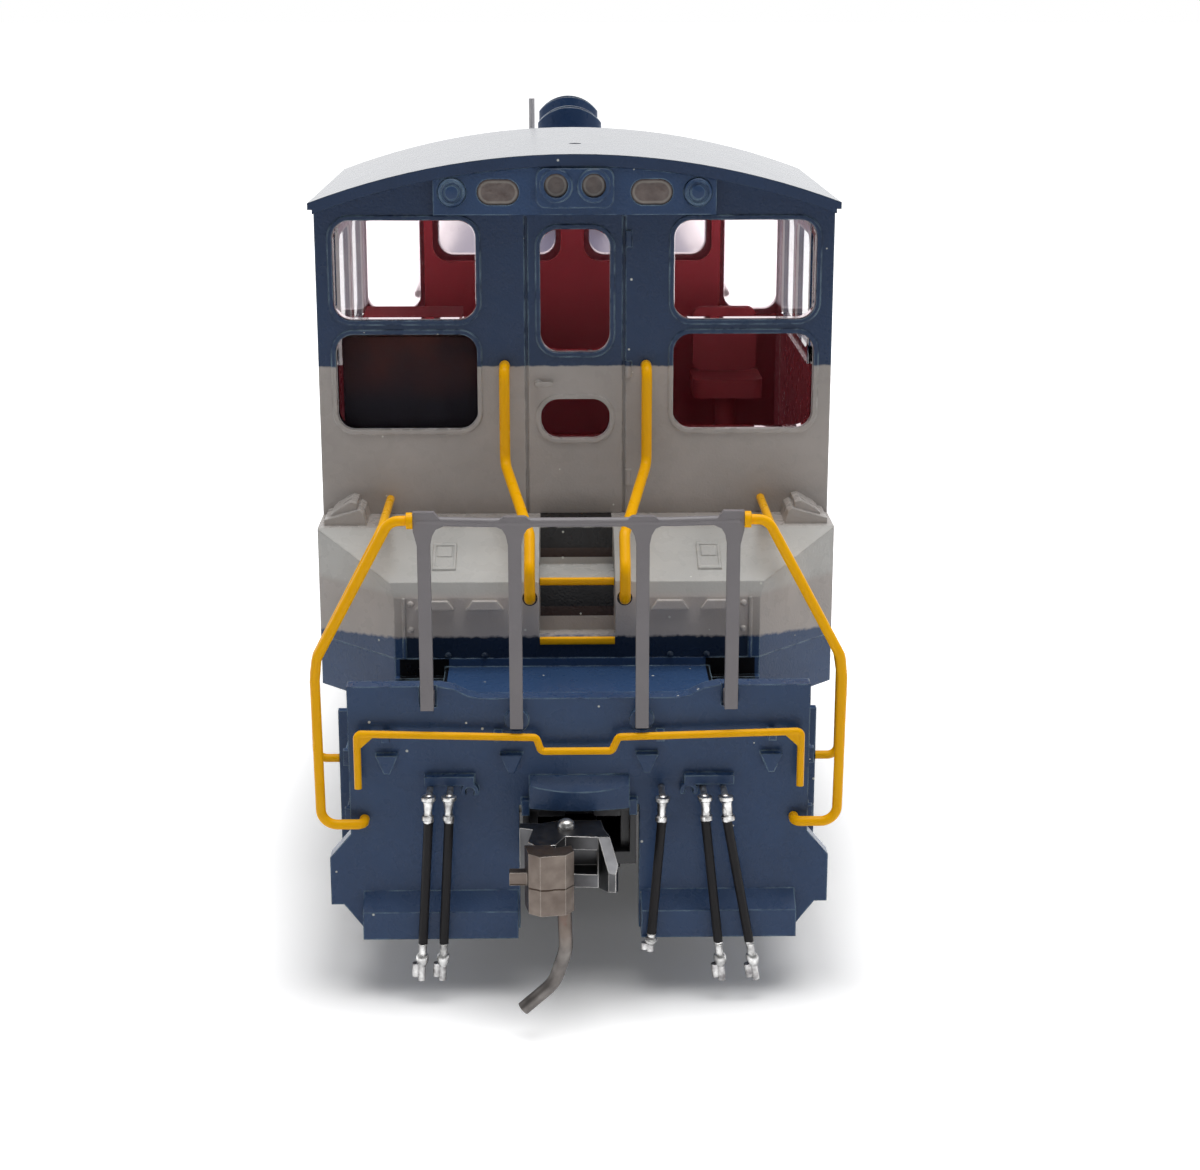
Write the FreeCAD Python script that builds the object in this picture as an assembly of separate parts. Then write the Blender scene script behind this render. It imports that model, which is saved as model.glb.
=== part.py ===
"""Model diesel switching locomotive, modelled as the assembly that comes apart on a bench.

The long axis is Y: the cab end is at -Y and the radiator end at +Y. X is across and Z is up.
The origin is midway between the couplers, at the lowest point of the wheel flanges.
All sizes are in millimetres.
"""
import math
import os

import FreeCAD
import Part
from FreeCAD import Placement, Rotation, Vector

os.makedirs("parts", exist_ok=True)

X_AXIS = Vector(1, 0, 0)
Y_AXIS = Vector(0, 1, 0)
Z_AXIS = Vector(0, 0, 1)

# ---------------------------------------------------------------- driving dimensions
# wheels and track
FLANGE_DEPTH = 0.64
TREAD_RADIUS = 5.83
WHEEL_WIDTH = 2.8
BACK_TO_BACK = 14.4
AXLE_RADIUS = 1.2
RUNNING_GAP = 0.06
AXLE_Z = FLANGE_DEPTH + TREAD_RADIUS
WHEEL_REACH = BACK_TO_BACK / 2 + WHEEL_WIDTH

# layout along the engine
TRUCK_SPACING = 84.6
PILOT_SPAN = TRUCK_SPACING + 66.0
WHEELBASE = 31.5
CAB_REAR_SETBACK = 19.2
CAB_LENGTH = 25.2
BASE_SETBACK = 9.7
NOSE_SETBACK = 9.7

# underframe
BODY_WIDTH = 34.8
DECK_Z = 19.0
DECK_THICKNESS = 1.2
SILL_BOTTOM = 15.6
SILL_WALL = 1.0
END_DECK_WIDTH = 17.4
END_DECK_DROP = 0.6
PILOT_THICKNESS = 1.2
FRAME_BOTTOM = 14.3
FRAME_WIDTH = 18.0

# cab
CAB_FLOOR_Z = 26.5
CAB_WALL = 1.0
ROOF_CROWN = 51.0
ROOF_RADIUS = 50.95
ROOF_THICKNESS = 0.8
ROOF_EAVE = 0.3
EAVE_THICKNESS = 0.45
ROOF_OVERHANG = 0.93

# hood
HOOD_WIDTH = 21.8
HOOD_TOP = 40.4
HOOD_WALL = 1.0
HOOD_SHOULDER = 2.4

# couplers
COUPLER_Z = 10.45
COUPLER_REACH = 8.4
COUPLER_PIVOT_SETBACK = 4.6

# gear train
MODULE = 0.5
WORM_GEAR_TEETH = 20
IDLER_TEETH = 17
AXLE_GEAR_TEETH = 12
GEAR_FACE = 2.0
WORM_PITCH_RADIUS = 2.2
WORM_GEAR_RISE = 4.5
BACKLASH = 0.14

# rails
RAIL_RADIUS = 0.28
POST_RADIUS = 0.22
GRAB_RADIUS = 0.36
RAIL_BEND = 0.9

# ---------------------------------------------------------------- places worked out from them
REAR_FACE = -PILOT_SPAN / 2
PILOT_BACK = REAR_FACE + PILOT_THICKNESS
BASE_FRONT = REAR_FACE + BASE_SETBACK
CAB_REAR = REAR_FACE + CAB_REAR_SETBACK
CAB_FRONT = CAB_REAR + CAB_LENGTH
NOSE_Y = -REAR_FACE - NOSE_SETBACK
BODY_HALF = BODY_WIDTH / 2
ROOF_HALF = BODY_HALF + ROOF_EAVE
HOOD_HALF = HOOD_WIDTH / 2
ROOF_CENTRE_Z = ROOF_CROWN - ROOF_RADIUS
TRUCK_Y = TRUCK_SPACING / 2
WORM_GEAR_RADIUS = MODULE * WORM_GEAR_TEETH / 2
IDLER_RADIUS = MODULE * IDLER_TEETH / 2
AXLE_GEAR_RADIUS = MODULE * AXLE_GEAR_TEETH / 2
WORM_GEAR_Z = AXLE_Z + WORM_GEAR_RISE
SHAFT_Z = WORM_GEAR_Z + WORM_GEAR_RADIUS + WORM_PITCH_RADIUS


# ---------------------------------------------------------------- small tools
def box(x0, x1, y0, y1, z0, z1):
    """A block between two corners."""
    return Part.makeBox(x1 - x0, y1 - y0, z1 - z0, Vector(x0, y0, z0))


def both_sides(x0, x1, y0, y1, z0, z1):
    """The same block on the right and, mirrored, on the left."""
    return [box(x0, x1, y0, y1, z0, z1), box(-x1, -x0, y0, y1, z0, z1)]


def cylinder(radius, base, direction, length):
    return Part.makeCylinder(radius, length, Vector(*base), direction)


def polygon(points):
    """A flat face from corner points."""
    corners = [Vector(*p) for p in points]
    return Part.Face(Part.makePolygon(corners + corners[:1]))


def prism_x(points, x0, x1):
    """A (y, z) outline pushed along X."""
    return polygon([(x0, y, z) for y, z in points]).extrude(Vector(x1 - x0, 0, 0))


def prism_y(points, y0, y1):
    """An (x, z) outline pushed along Y."""
    return polygon([(x, y0, z) for x, z in points]).extrude(Vector(0, y1 - y0, 0))


def prism_z(points, z0, z1):
    """An (x, y) outline pushed along Z."""
    return polygon([(x, y, z0) for x, y in points]).extrude(Vector(0, 0, z1 - z0))


def mirrored(shape):
    """The left-hand copy of a right-hand shape."""
    return shape.mirror(Vector(0, 0, 0), X_AXIS)


def turned(shape):
    """The copy at the other end of the engine."""
    copy = shape.copy()
    copy.rotate(Vector(0, 0, 0), Z_AXIS, 180)
    return copy


def moved(shape, x=0.0, y=0.0, z=0.0):
    copy = shape.copy()
    copy.translate(Vector(x, y, z))
    return copy


def fused(shapes):
    """One solid from shapes that overlap or share faces."""
    shapes = list(shapes)
    body = shapes[0].multiFuse(shapes[1:]) if len(shapes) > 1 else shapes[0]
    return body.removeSplitter()


def rounded(shape, direction, radius):
    """Fillets the edges that run along a direction."""
    def along(edge):
        if edge.Curve.TypeId != "Part::GeomLine":
            return False
        run = edge.lastVertex().Point - edge.firstVertex().Point
        return run.Length > 1e-6 and abs(run.normalize().dot(direction)) > 0.999
    return shape.makeFillet(radius, [e for e in shape.Edges if along(e)])


def rounded_block(x0, x1, y0, y1, z0, z1, direction, radius):
    return rounded(box(x0, x1, y0, y1, z0, z1), direction, radius)


def ring(outer, inner, base, direction, length):
    return cylinder(outer, base, direction, length).cut(cylinder(inner, base, direction, length))


def rod(points, radius, bend=RAIL_BEND):
    """A round wire of straight runs joined by tangent arcs of up to the bend radius."""
    points = [Vector(*p) for p in points]
    path = []
    start = points[0]
    for before, corner, after in zip(points, points[1:], points[2:]):
        into = (before - corner).normalize()
        out = (after - corner).normalize()
        half = into.getAngle(out) / 2
        room = 0.45 * min((before - corner).Length, (after - corner).Length)
        cut = min(bend / math.tan(half), room)
        first, last = corner + into * cut, corner + out * cut
        inward = (into + out).normalize()
        crown = corner + inward * (cut / math.cos(half) - cut * math.tan(half))
        path += [Part.makeLine(start, first), Part.Arc(first, crown, last).toShape()]
        start = last
    path.append(Part.makeLine(start, points[-1]))
    section = Part.Wire(Part.makeCircle(radius, points[0], points[1] - points[0]))
    return Part.Wire(path).makePipeShell([section], True, True)


def write(name, shapes):
    """Writes one node from one or more separate solids."""
    if not isinstance(shapes, (list, tuple)):
        shapes = [shapes]
    solids = [solid for shape in shapes for solid in shape.Solids]
    shape = solids[0] if len(solids) == 1 else Part.makeCompound(solids)
    shape.exportStep(os.path.join("parts", name + ".step"))


# ---------------------------------------------------------------- running board, pilots and steps
HOOD_OPENING_HALF = HOOD_HALF - HOOD_WALL - 0.7
STEP_WALL = 0.6
STEP_REACH = BODY_HALF - 1.6
STEP_FOOT = 6.2
BASE_CORNER = 5.4
BASE_FLAT_HALF = BODY_HALF - BASE_CORNER
MECHANISM_REAR = CAB_REAR - 2.4
MECHANISM_FRONT = NOSE_Y - 4.0


def base_outline(inset=0.0):
    """Plan of the cab base: a flat rear face with two corners cut at 45 degrees."""
    half = BODY_HALF - inset
    flat = BASE_FLAT_HALF - inset * math.tan(math.radians(22.5))
    rear = BASE_FRONT + inset
    return [(-flat, rear), (flat, rear), (half, rear + half - flat),
            (half, CAB_FRONT), (-half, CAB_FRONT), (-half, rear + half - flat)]


def running_board():
    """Walkway moulding: deck plate, side sills and the hole that the mechanism stands in."""
    half = BODY_HALF
    corner = BASE_FRONT + BASE_CORNER
    plan = [(-END_DECK_WIDTH / 2, PILOT_BACK), (END_DECK_WIDTH / 2, PILOT_BACK),
            (END_DECK_WIDTH / 2, BASE_FRONT), (BASE_FLAT_HALF, BASE_FRONT), (half, corner),
            (half, NOSE_Y), (END_DECK_WIDTH / 2, NOSE_Y), (END_DECK_WIDTH / 2, -PILOT_BACK),
            (-END_DECK_WIDTH / 2, -PILOT_BACK), (-END_DECK_WIDTH / 2, NOSE_Y), (-half, NOSE_Y),
            (-half, corner), (-BASE_FLAT_HALF, BASE_FRONT), (-END_DECK_WIDTH / 2, BASE_FRONT)]
    deck = prism_z(plan, DECK_Z - DECK_THICKNESS, DECK_Z)
    inner = half - SILL_WALL
    flat = BASE_FLAT_HALF - SILL_WALL * math.tan(math.radians(22.5))
    skirt_outer = [(BASE_FLAT_HALF, BASE_FRONT), (half, corner), (half, NOSE_Y),
                   (-half, NOSE_Y), (-half, corner), (-BASE_FLAT_HALF, BASE_FRONT)]
    rear_in = BASE_FRONT + SILL_WALL
    skirt_inner = [(flat, rear_in), (inner, rear_in + inner - flat), (inner, NOSE_Y - SILL_WALL),
                   (-inner, NOSE_Y - SILL_WALL), (-inner, rear_in + inner - flat), (-flat, rear_in)]
    skirt = prism_z(skirt_outer, SILL_BOTTOM, DECK_Z - DECK_THICKNESS)
    skirt = skirt.cut(prism_z(skirt_inner, SILL_BOTTOM, DECK_Z - DECK_THICKNESS))
    opening = box(-HOOD_OPENING_HALF, HOOD_OPENING_HALF, MECHANISM_REAR, MECHANISM_FRONT,
                  SILL_BOTTOM, DECK_Z)
    lug_way = box(-LUG_HALF, LUG_HALF, PILOT_BACK, -PILOT_BACK, SILL_BOTTOM, DECK_Z - DECK_THICKNESS)
    half_deck = END_DECK_WIDTH / 2
    board = fused([deck, skirt]).cut(opening).cut(lug_way)
    for y in sorted((PILOT_BACK, BASE_FRONT)), sorted((-PILOT_BACK, NOSE_Y)):
        board = board.cut(box(-half_deck, half_deck, y[0], y[1], DECK_Z - END_DECK_DROP, DECK_Z))
    return board


def step_unit():
    """Rear right step well: inner side wall, back sheet and three treads."""
    inner = END_DECK_WIDTH / 2
    top = DECK_Z - DECK_THICKNESS
    back = BASE_FRONT - STEP_WALL
    side = box(inner - STEP_WALL, inner, PILOT_BACK, back, STEP_FOOT, top)
    sheet = box(inner - STEP_WALL, STEP_REACH, back, BASE_FRONT, STEP_FOOT, SILL_BOTTOM)
    collar = box(inner - STEP_WALL, BASE_FLAT_HALF, back, BASE_FRONT, SILL_BOTTOM, top)
    pieces = [side, sheet, collar]
    tread_thickness = 0.5
    tread_reach = STEP_REACH - 1.05
    first_tread = 7.4
    rise = (DECK_Z - first_tread) / 3
    lip = 0.5
    for step in range(3):
        z = first_tread + step * rise
        pieces.append(box(inner, tread_reach, PILOT_BACK, back, z - tread_thickness, z))
        pieces.append(box(inner, tread_reach, PILOT_BACK, PILOT_BACK + lip, z, z + lip))
    return fused(pieces)


PILOT_TOP = 20.2
PILOT_NOTCH_TOP = 12.4
PILOT_NOTCH_HALF = 3.75
PILOT_FOOT = 4.1
PILOT_HALF = BODY_HALF - 3.1
PILOT_WIDE_HALF = BODY_HALF - 1.75
PILOT_DIP = 19.4
PILOT_FOOT_CORNER = 2.1
DIP_HALF = 6.1
DIP_TOP_HALF = 8.6
BRACKET_OUT = 0.6
BRACKET_IN_X = 6.5
BRACKET_OUT_X = 9.6
BRACKET_Z = 13.9
GUSSET_IN_X = 4.2
GUSSET_OUT_X = PILOT_HALF - 2.4
STANCHION_OUTER_X = 9.3
STANCHION_INNER_X = 3.85
STANCHION_HALF = 0.4
OUTER_FOOT_Z = 19.0
INNER_FOOT_Z = 17.8
FOOT_SLOT = 0.3
FOOT_GAP = 0.12
CUP_OUT = 0.35
MOUTH_OUT = 0.3


def striker():
    """Curved striker block over the coupler, with a sloping top and a tab at each lower end."""
    half, out, swell = 3.1, 0.95, 0.5
    low, front_top, back_top = PILOT_NOTCH_TOP + 0.12, 13.75, 14.4
    tab_width, tab_height = 0.5, 1.0
    left, right = Vector(-half, REAR_FACE - out, low), Vector(half, REAR_FACE - out, low)
    face = Part.Arc(left, Vector(0, REAR_FACE - out - swell, low), right).toShape()
    back = Part.makePolygon([right, Vector(half, REAR_FACE, low), Vector(-half, REAR_FACE, low), left])
    block = Part.Face(Part.Wire([face] + back.Edges)).extrude(Vector(0, 0, back_top - low))
    front = REAR_FACE - out - swell
    block = block.cut(prism_x([(front, front_top), (REAR_FACE - 0.2, back_top), (front, back_top + 1)],
                              -half, half))
    tabs = both_sides(half, half + tab_width, REAR_FACE - BRACKET_OUT, REAR_FACE,
                      PILOT_NOTCH_TOP, low + 0.4)
    tabs += both_sides(half, half + tab_width, REAR_FACE - BRACKET_OUT, REAR_FACE - MOUTH_OUT - RUNNING_GAP,
                       low + 0.4 - tab_height, PILOT_NOTCH_TOP)
    return [block] + tabs


def hose_bracket(sign):
    """Bar for the air hoses with an open hook under its inner end."""
    bar = sorted([sign * BRACKET_IN_X, sign * BRACKET_OUT_X])
    y = REAR_FACE - BRACKET_OUT
    hook_outer, hook_inner = 0.55, 0.3
    hook_z = BRACKET_Z - 0.4
    hook = ring(hook_outer, hook_inner, (sign * (BRACKET_IN_X + 0.3), y, hook_z), Y_AXIS, BRACKET_OUT)
    hook = hook.cut(box(-BODY_HALF, BODY_HALF, y, REAR_FACE, hook_z - 1, hook_z - 0.2))
    return [box(bar[0], bar[1], y, REAR_FACE, BRACKET_Z, BRACKET_Z + 0.6), hook]


def pilot():
    """Rear pilot: the end plate with its coupler notch, footboards, striker and brackets."""
    foot_half = PILOT_WIDE_HALF - PILOT_FOOT_CORNER
    half = [(PILOT_NOTCH_HALF, PILOT_FOOT), (foot_half, PILOT_FOOT), (PILOT_WIDE_HALF - 0.8, 5.8),
            (PILOT_WIDE_HALF, 5.8), (PILOT_WIDE_HALF, 8.95), (PILOT_HALF, 10.55),
            (PILOT_HALF, PILOT_TOP), (DIP_TOP_HALF, PILOT_TOP), (DIP_TOP_HALF - 0.9, PILOT_TOP - 0.2),
            (DIP_HALF + 0.7, PILOT_DIP + 0.15), (DIP_HALF, PILOT_DIP)]
    outline = half + [(-x, z) for x, z in reversed(half)]
    outline += [(-PILOT_NOTCH_HALF, PILOT_NOTCH_TOP), (PILOT_NOTCH_HALF, PILOT_NOTCH_TOP)]
    plate = prism_y(outline, REAR_FACE, PILOT_BACK)
    slot_half = STANCHION_HALF + FOOT_GAP
    for slot in both_sides(STANCHION_OUTER_X - slot_half, STANCHION_OUTER_X + slot_half, REAR_FACE,
                           REAR_FACE + FOOT_SLOT, OUTER_FOOT_Z - FOOT_GAP, PILOT_TOP):
        plate = plate.cut(slot)
    pieces = [plate] + striker()
    footboard_out = 1.6
    footboard = [(REAR_FACE, PILOT_FOOT), (REAR_FACE - footboard_out, PILOT_FOOT),
                 (REAR_FACE - footboard_out, PILOT_FOOT + 1.8), (REAR_FACE, PILOT_FOOT + 2.6)]
    for sign in (1, -1):
        reach = [sign * (PILOT_NOTCH_HALF + 0.1), sign * foot_half]
        pieces.append(prism_x(footboard, min(reach), max(reach)))
        pieces += hose_bracket(sign)
        for gusset_x in (GUSSET_IN_X, GUSSET_OUT_X):
            x = sign * gusset_x
            pieces.append(prism_y([(x - 0.7, 15.9), (x + 0.7, 15.9), (x + 0.18, 14.7), (x - 0.18, 14.7)],
                                  REAR_FACE - BRACKET_OUT, REAR_FACE))
        cup_z = INNER_FOOT_Z + 0.25
        pieces.append(cylinder(0.75, (sign * STANCHION_INNER_X, REAR_FACE - CUP_OUT, cup_z), Y_AXIS, CUP_OUT))
    return fused(pieces)


# ---------------------------------------------------------------- die-cast frame, tank and motor
FRAME_TOP = DECK_Z - DECK_THICKNESS
FRAME_HALF = FRAME_WIDTH / 2
FRAME_END = PILOT_SPAN / 2 - 12.7
TUB_HALF = 9.6
TUB_HALF_LENGTH = 15.0
TUB_FLOOR_Z = 9.6
TUB_WALL = 1.0
MOTOR_HALF_LENGTH = 12.0
MOTOR_RADIUS = 6.9
MOTOR_FLAT = 6.3
MOTOR_WALL = 0.9
MOTOR_BOSS = 0.9
SHAFT_RADIUS = 0.75
FLYWHEEL_RADIUS = 5.8
FLYWHEEL_LENGTH = 6.5
FLYWHEEL_GAP = 0.5
CUP_RADIUS = 2.4
CUP_BORE = 1.9
CUP_DEPTH = 2.6
CUP_FLOOR = 0.6
FORK_SLOT = 1.2
BALL_RADIUS = 0.85
CROSS_PIN_RADIUS = 0.3
DRIVE_SHAFT_RADIUS = 0.6
PIVOT_RADIUS = 6.64
PIVOT_RING_TOP = FRAME_BOTTOM + 0.9
SHAFT_CHANNEL_HALF = 3.9
TOWER_HALF_X = 3.5
TOWER_HALF_Y = 5.5
BOARD_POST_TOP = 27.0
BOARD_POST_Y = 21.2
LUG_HALF = 3.6
POCKET_HALF_X = 3.4
POCKET_TOP = COUPLER_Z + 1.9
POCKET_BOTTOM = COUPLER_Z - 1.9
POCKET_LENGTH = 9.5
FLYWHEEL_START = MOTOR_HALF_LENGTH + MOTOR_BOSS + FLYWHEEL_GAP
FLYWHEEL_END = FLYWHEEL_START + FLYWHEEL_LENGTH
CUP_START = TOWER_HALF_Y + 0.2


def chassis_frame():
    """Zinc casting: side bars, motor tub, round truck openings, board posts and end lugs."""
    bar = box(-FRAME_HALF, FRAME_HALF, -FRAME_END, FRAME_END, FRAME_BOTTOM, FRAME_TOP)
    tub = box(-TUB_HALF, TUB_HALF, -TUB_HALF_LENGTH, TUB_HALF_LENGTH, TUB_FLOOR_Z, FRAME_TOP)
    pieces = [bar, tub]
    lug_start = -PILOT_BACK
    for sign in (1, -1):
        lug = sorted([sign * (FRAME_END - POCKET_LENGTH + 6.0), sign * lug_start])
        pieces.append(box(-LUG_HALF, LUG_HALF, lug[0], lug[1], POCKET_TOP, FRAME_TOP))
        for y in (BOARD_POST_Y, -BOARD_POST_Y):
            post = both_sides(FLYWHEEL_RADIUS + 1.1, FRAME_HALF - 0.3, y - 0.9, y + 0.9,
                              FRAME_BOTTOM, BOARD_POST_TOP)
            pieces.append(post[0 if sign > 0 else 1])
    body = fused(pieces)
    well_half = TUB_HALF - TUB_WALL
    well_length = TUB_HALF_LENGTH - TUB_WALL
    body = body.cut(box(-well_half, well_half, -well_length, well_length,
                        TUB_FLOOR_Z + TUB_WALL, FRAME_TOP))
    flywheel_room = FLYWHEEL_RADIUS + 0.6
    end_room = FLYWHEEL_END + 0.8
    body = body.cut(box(-flywheel_room, flywheel_room, -end_room, end_room,
                        SHAFT_Z - flywheel_room, FRAME_TOP))
    for sign in (1, -1):
        body = body.cut(cylinder(PIVOT_RADIUS + RUNNING_GAP, (0, sign * TRUCK_Y, 0), Z_AXIS, 40.0))
        channel = sorted([sign * end_room, sign * TRUCK_Y])
        body = body.cut(box(-SHAFT_CHANNEL_HALF, SHAFT_CHANNEL_HALF, channel[0], channel[1],
                            PIVOT_RING_TOP, FRAME_TOP))
    return body.removeSplitter()


TANK_HALF = 14.2
TANK_BOTTOM = 4.4
TANK_TOP = 11.8
TANK_HALF_LENGTH = 16.6
TANK_WALL = 1.0
TANK_CHAMFER = 3.4
RESERVOIR_RADIUS = 1.7
RESERVOIR_X = 12.4
RESERVOIR_HALF_LENGTH = 13.0
SADDLE_Y = 8.5


def tank_outline(inset):
    """Section of the fuel tank: a box with its two lower corners cut away."""
    half, low, top = TANK_HALF - inset, TANK_BOTTOM + inset, TANK_TOP - inset
    flat = half - TANK_CHAMFER + inset * 0.4
    return [(-flat, low), (flat, low), (half, low + TANK_CHAMFER), (half, top), (-half, top),
            (-half, low + TANK_CHAMFER)]


def fuel_tank():
    """Tank shell whose top plate fits round the motor tub, with saddles for the reservoirs."""
    inner_end = TANK_HALF_LENGTH - TANK_WALL
    shell = prism_y(tank_outline(0), -TANK_HALF_LENGTH, TANK_HALF_LENGTH)
    shell = shell.cut(prism_y(tank_outline(TANK_WALL), -inner_end, inner_end))
    shell = shell.cut(box(-TUB_HALF, TUB_HALF, -TUB_HALF_LENGTH, TUB_HALF_LENGTH, TUB_FLOOR_Z, TANK_TOP))
    pieces = [shell]
    for sign in (1, -1):
        for y in (-SADDLE_Y, SADDLE_Y):
            x = sorted([sign * (RESERVOIR_X - 1.3), sign * (RESERVOIR_X + 1.3)])
            saddle = box(x[0], x[1], y - 0.6, y + 0.6, TANK_TOP, TANK_TOP + 0.9)
            pieces.append(saddle.cut(cylinder(RESERVOIR_RADIUS, (sign * RESERVOIR_X, y - 1, reservoir_z()),
                                              Y_AXIS, 2.0)))
        pieces.append(cylinder(1.0, (sign * TANK_HALF, SADDLE_Y, 9.9), Vector(sign, 0, 0), 0.6))
        gauge = sorted([sign * TANK_HALF, sign * (TANK_HALF + 0.3)])
        pieces.append(box(gauge[0], gauge[1], -0.5, 0.5, 8.3, 11.0))
    return fused(pieces)


def reservoir_z():
    return TANK_TOP + RESERVOIR_RADIUS + 0.2


def air_reservoirs():
    """Two long air tanks with domed ends, one each side above the fuel tank."""
    tanks = []
    for sign in (1, -1):
        tank = cylinder(RESERVOIR_RADIUS, (sign * RESERVOIR_X, -RESERVOIR_HALF_LENGTH, reservoir_z()),
                        Y_AXIS, 2 * RESERVOIR_HALF_LENGTH)
        ends = [e for e in tank.Edges if e.Closed]
        tanks.append(tank.makeFillet(0.9, ends))
    return tanks


def motor_case():
    """Motor can with two flats and a bearing boss at each end."""
    length = MOTOR_HALF_LENGTH
    outer = cylinder(MOTOR_RADIUS, (0, -length, SHAFT_Z), Y_AXIS, 2 * length)
    case = outer.common(box(-MOTOR_FLAT, MOTOR_FLAT, -length, length, 0, 2 * SHAFT_Z))
    inner = length - MOTOR_WALL
    flat = MOTOR_FLAT - MOTOR_WALL
    bore = cylinder(MOTOR_RADIUS - MOTOR_WALL, (0, -inner, SHAFT_Z), Y_AXIS, 2 * inner)
    cavity = bore.common(box(-flat, flat, -length, length, 0, 2 * SHAFT_Z))
    reach = length + MOTOR_BOSS
    boss = cylinder(2.4, (0, -reach, SHAFT_Z), Y_AXIS, 2 * reach)
    hole = cylinder(SHAFT_RADIUS + RUNNING_GAP, (0, -reach, SHAFT_Z), Y_AXIS, 2 * reach)
    return case.fuse(boss).cut(cavity).cut(hole).removeSplitter()


def motor_cradle():
    """Soft saddle between the motor and the floor of the tub."""
    half, length = 5.5, 9.0
    saddle = box(-half, half, -length, length, TUB_FLOOR_Z + TUB_WALL, SHAFT_Z - 4.2)
    return saddle.cut(cylinder(MOTOR_RADIUS, (0, -length, SHAFT_Z), Y_AXIS, 2 * length))


def motor_armature():
    """Motor shaft with its slotted core and the commutator."""
    reach = FLYWHEEL_END - CUP_DEPTH - CUP_FLOOR
    core_radius = 4.9
    slots = 5
    shaft = cylinder(SHAFT_RADIUS, (0, -reach, SHAFT_Z), Y_AXIS, 2 * reach)
    core = cylinder(core_radius, (0, -5.5, 0), Y_AXIS, 11.0)
    for slot in range(slots):
        groove = box(-0.5, 0.5, -6.0, 6.0, 2.6, core_radius + 1)
        groove.rotate(Vector(0, 0, 0), Y_AXIS, 360 * slot / slots)
        core = core.cut(groove)
    commutator = cylinder(1.9, (0, 6.4, SHAFT_Z), Y_AXIS, 3.6)
    return fused([shaft, moved(core, z=SHAFT_Z), commutator])


def flywheels():
    """Two brass flywheels; each ends in the slotted socket of a universal joint."""
    depth = FLYWHEEL_LENGTH - CUP_DEPTH - CUP_FLOOR
    wheel = cylinder(FLYWHEEL_RADIUS, (0, 0, 0), Y_AXIS, FLYWHEEL_LENGTH)
    wheel = wheel.cut(cylinder(SHAFT_RADIUS, (0, 0, 0), Y_AXIS, depth))
    mouth = FLYWHEEL_LENGTH - CUP_DEPTH
    wheel = wheel.cut(cylinder(CUP_BORE, (0, mouth, 0), Y_AXIS, CUP_DEPTH))
    wheel = wheel.cut(box(-CUP_RADIUS, CUP_RADIUS, mouth, FLYWHEEL_LENGTH, -FORK_SLOT, FORK_SLOT))
    wheel = moved(wheel, y=FLYWHEEL_START, z=SHAFT_Z)
    return [wheel, turned(wheel)]


def drive_shafts():
    """Shafts from the flywheels to the worms, with a ball and a cross pin at each end."""
    floor = FLYWHEEL_END - CUP_DEPTH
    near = floor + CUP_DEPTH / 2
    far = TRUCK_Y - CUP_START - CUP_FLOOR - CUP_DEPTH / 2
    pieces = [cylinder(DRIVE_SHAFT_RADIUS, (0, floor, SHAFT_Z), Y_AXIS, far - floor)]
    pin_reach = CUP_RADIUS - 0.2
    for y in (near, far):
        pieces.append(Part.makeSphere(BALL_RADIUS, Vector(0, y, SHAFT_Z)))
        pieces.append(cylinder(CROSS_PIN_RADIUS, (-pin_reach, y, SHAFT_Z), X_AXIS, 2 * pin_reach))
    shaft = fused(pieces)
    return [shaft, turned(shaft)]


# ---------------------------------------------------------------- gears
def gear_outline(teeth, phase):
    """Closed outline of a spur gear in its own plane: (u, v) points, with involute flanks.

    phase is the angle, in radians from +u towards +v, of the middle of one tooth.
    """
    pitch_radius = MODULE * teeth / 2
    base_radius = pitch_radius * math.cos(math.radians(20))
    tip_radius = pitch_radius + 0.84 * MODULE
    root_radius = pitch_radius - 1.22 * MODULE
    half_tooth = math.pi / (2 * teeth) - BACKLASH / (2 * pitch_radius)

    def involute(radius):
        if radius <= base_radius:
            return 0.0
        spread = math.acos(base_radius / radius)
        return math.tan(spread) - spread

    at_pitch = involute(pitch_radius)
    flank_radii = [root_radius, pitch_radius, tip_radius]
    points = []
    for tooth in range(teeth):
        middle = phase + 2 * math.pi * tooth / teeth
        flank = []
        for radius in flank_radii:
            flank.append((radius, half_tooth + at_pitch - involute(radius)))
        points += [(r * math.cos(middle - a), r * math.sin(middle - a)) for r, a in flank]
        points += [(r * math.cos(middle + a), r * math.sin(middle + a)) for r, a in reversed(flank)]
    return points


def spur_gear(teeth, y, z, phase, bore):
    """A gear on an X axis at (y, z); the phase is measured from +Y towards +Z."""
    outline = [(y + u, z + v) for u, v in gear_outline(teeth, phase)]
    gear = prism_x(outline, -GEAR_FACE / 2, GEAR_FACE / 2)
    if bore > 0:
        gear = gear.cut(cylinder(bore, (-GEAR_FACE / 2, y, z), X_AXIS, GEAR_FACE))
    return gear


def idler_place():
    """(y, z) of the outer idler, from the two centre distances; y is from the truck's middle."""
    axle = Vector(0, WHEELBASE / 2, AXLE_Z)
    centre = Vector(0, 0, WORM_GEAR_Z)
    to_axle = IDLER_RADIUS + AXLE_GEAR_RADIUS
    to_centre = IDLER_RADIUS + WORM_GEAR_RADIUS
    line = centre - axle
    span = line.Length
    along = (to_axle ** 2 - to_centre ** 2 + span ** 2) / (2 * span)
    aside = math.sqrt(to_axle ** 2 - along ** 2)
    line.normalize()
    downward = Vector(0, -line.z, line.y)
    place = axle + line * along + downward * aside
    return place.y, place.z


IDLER_Y, IDLER_Z = idler_place()
GEAR_PIN_RADIUS = 0.75
WORM_GEAR_PLACE = (0.0, WORM_GEAR_Z)
WORM_GEAR_PHASE = math.pi / 2
WORM_TURNS = 4
WORM_HALF = WORM_TURNS * math.pi * MODULE / 2
WORM_SHAFT_RADIUS = 0.8


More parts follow.
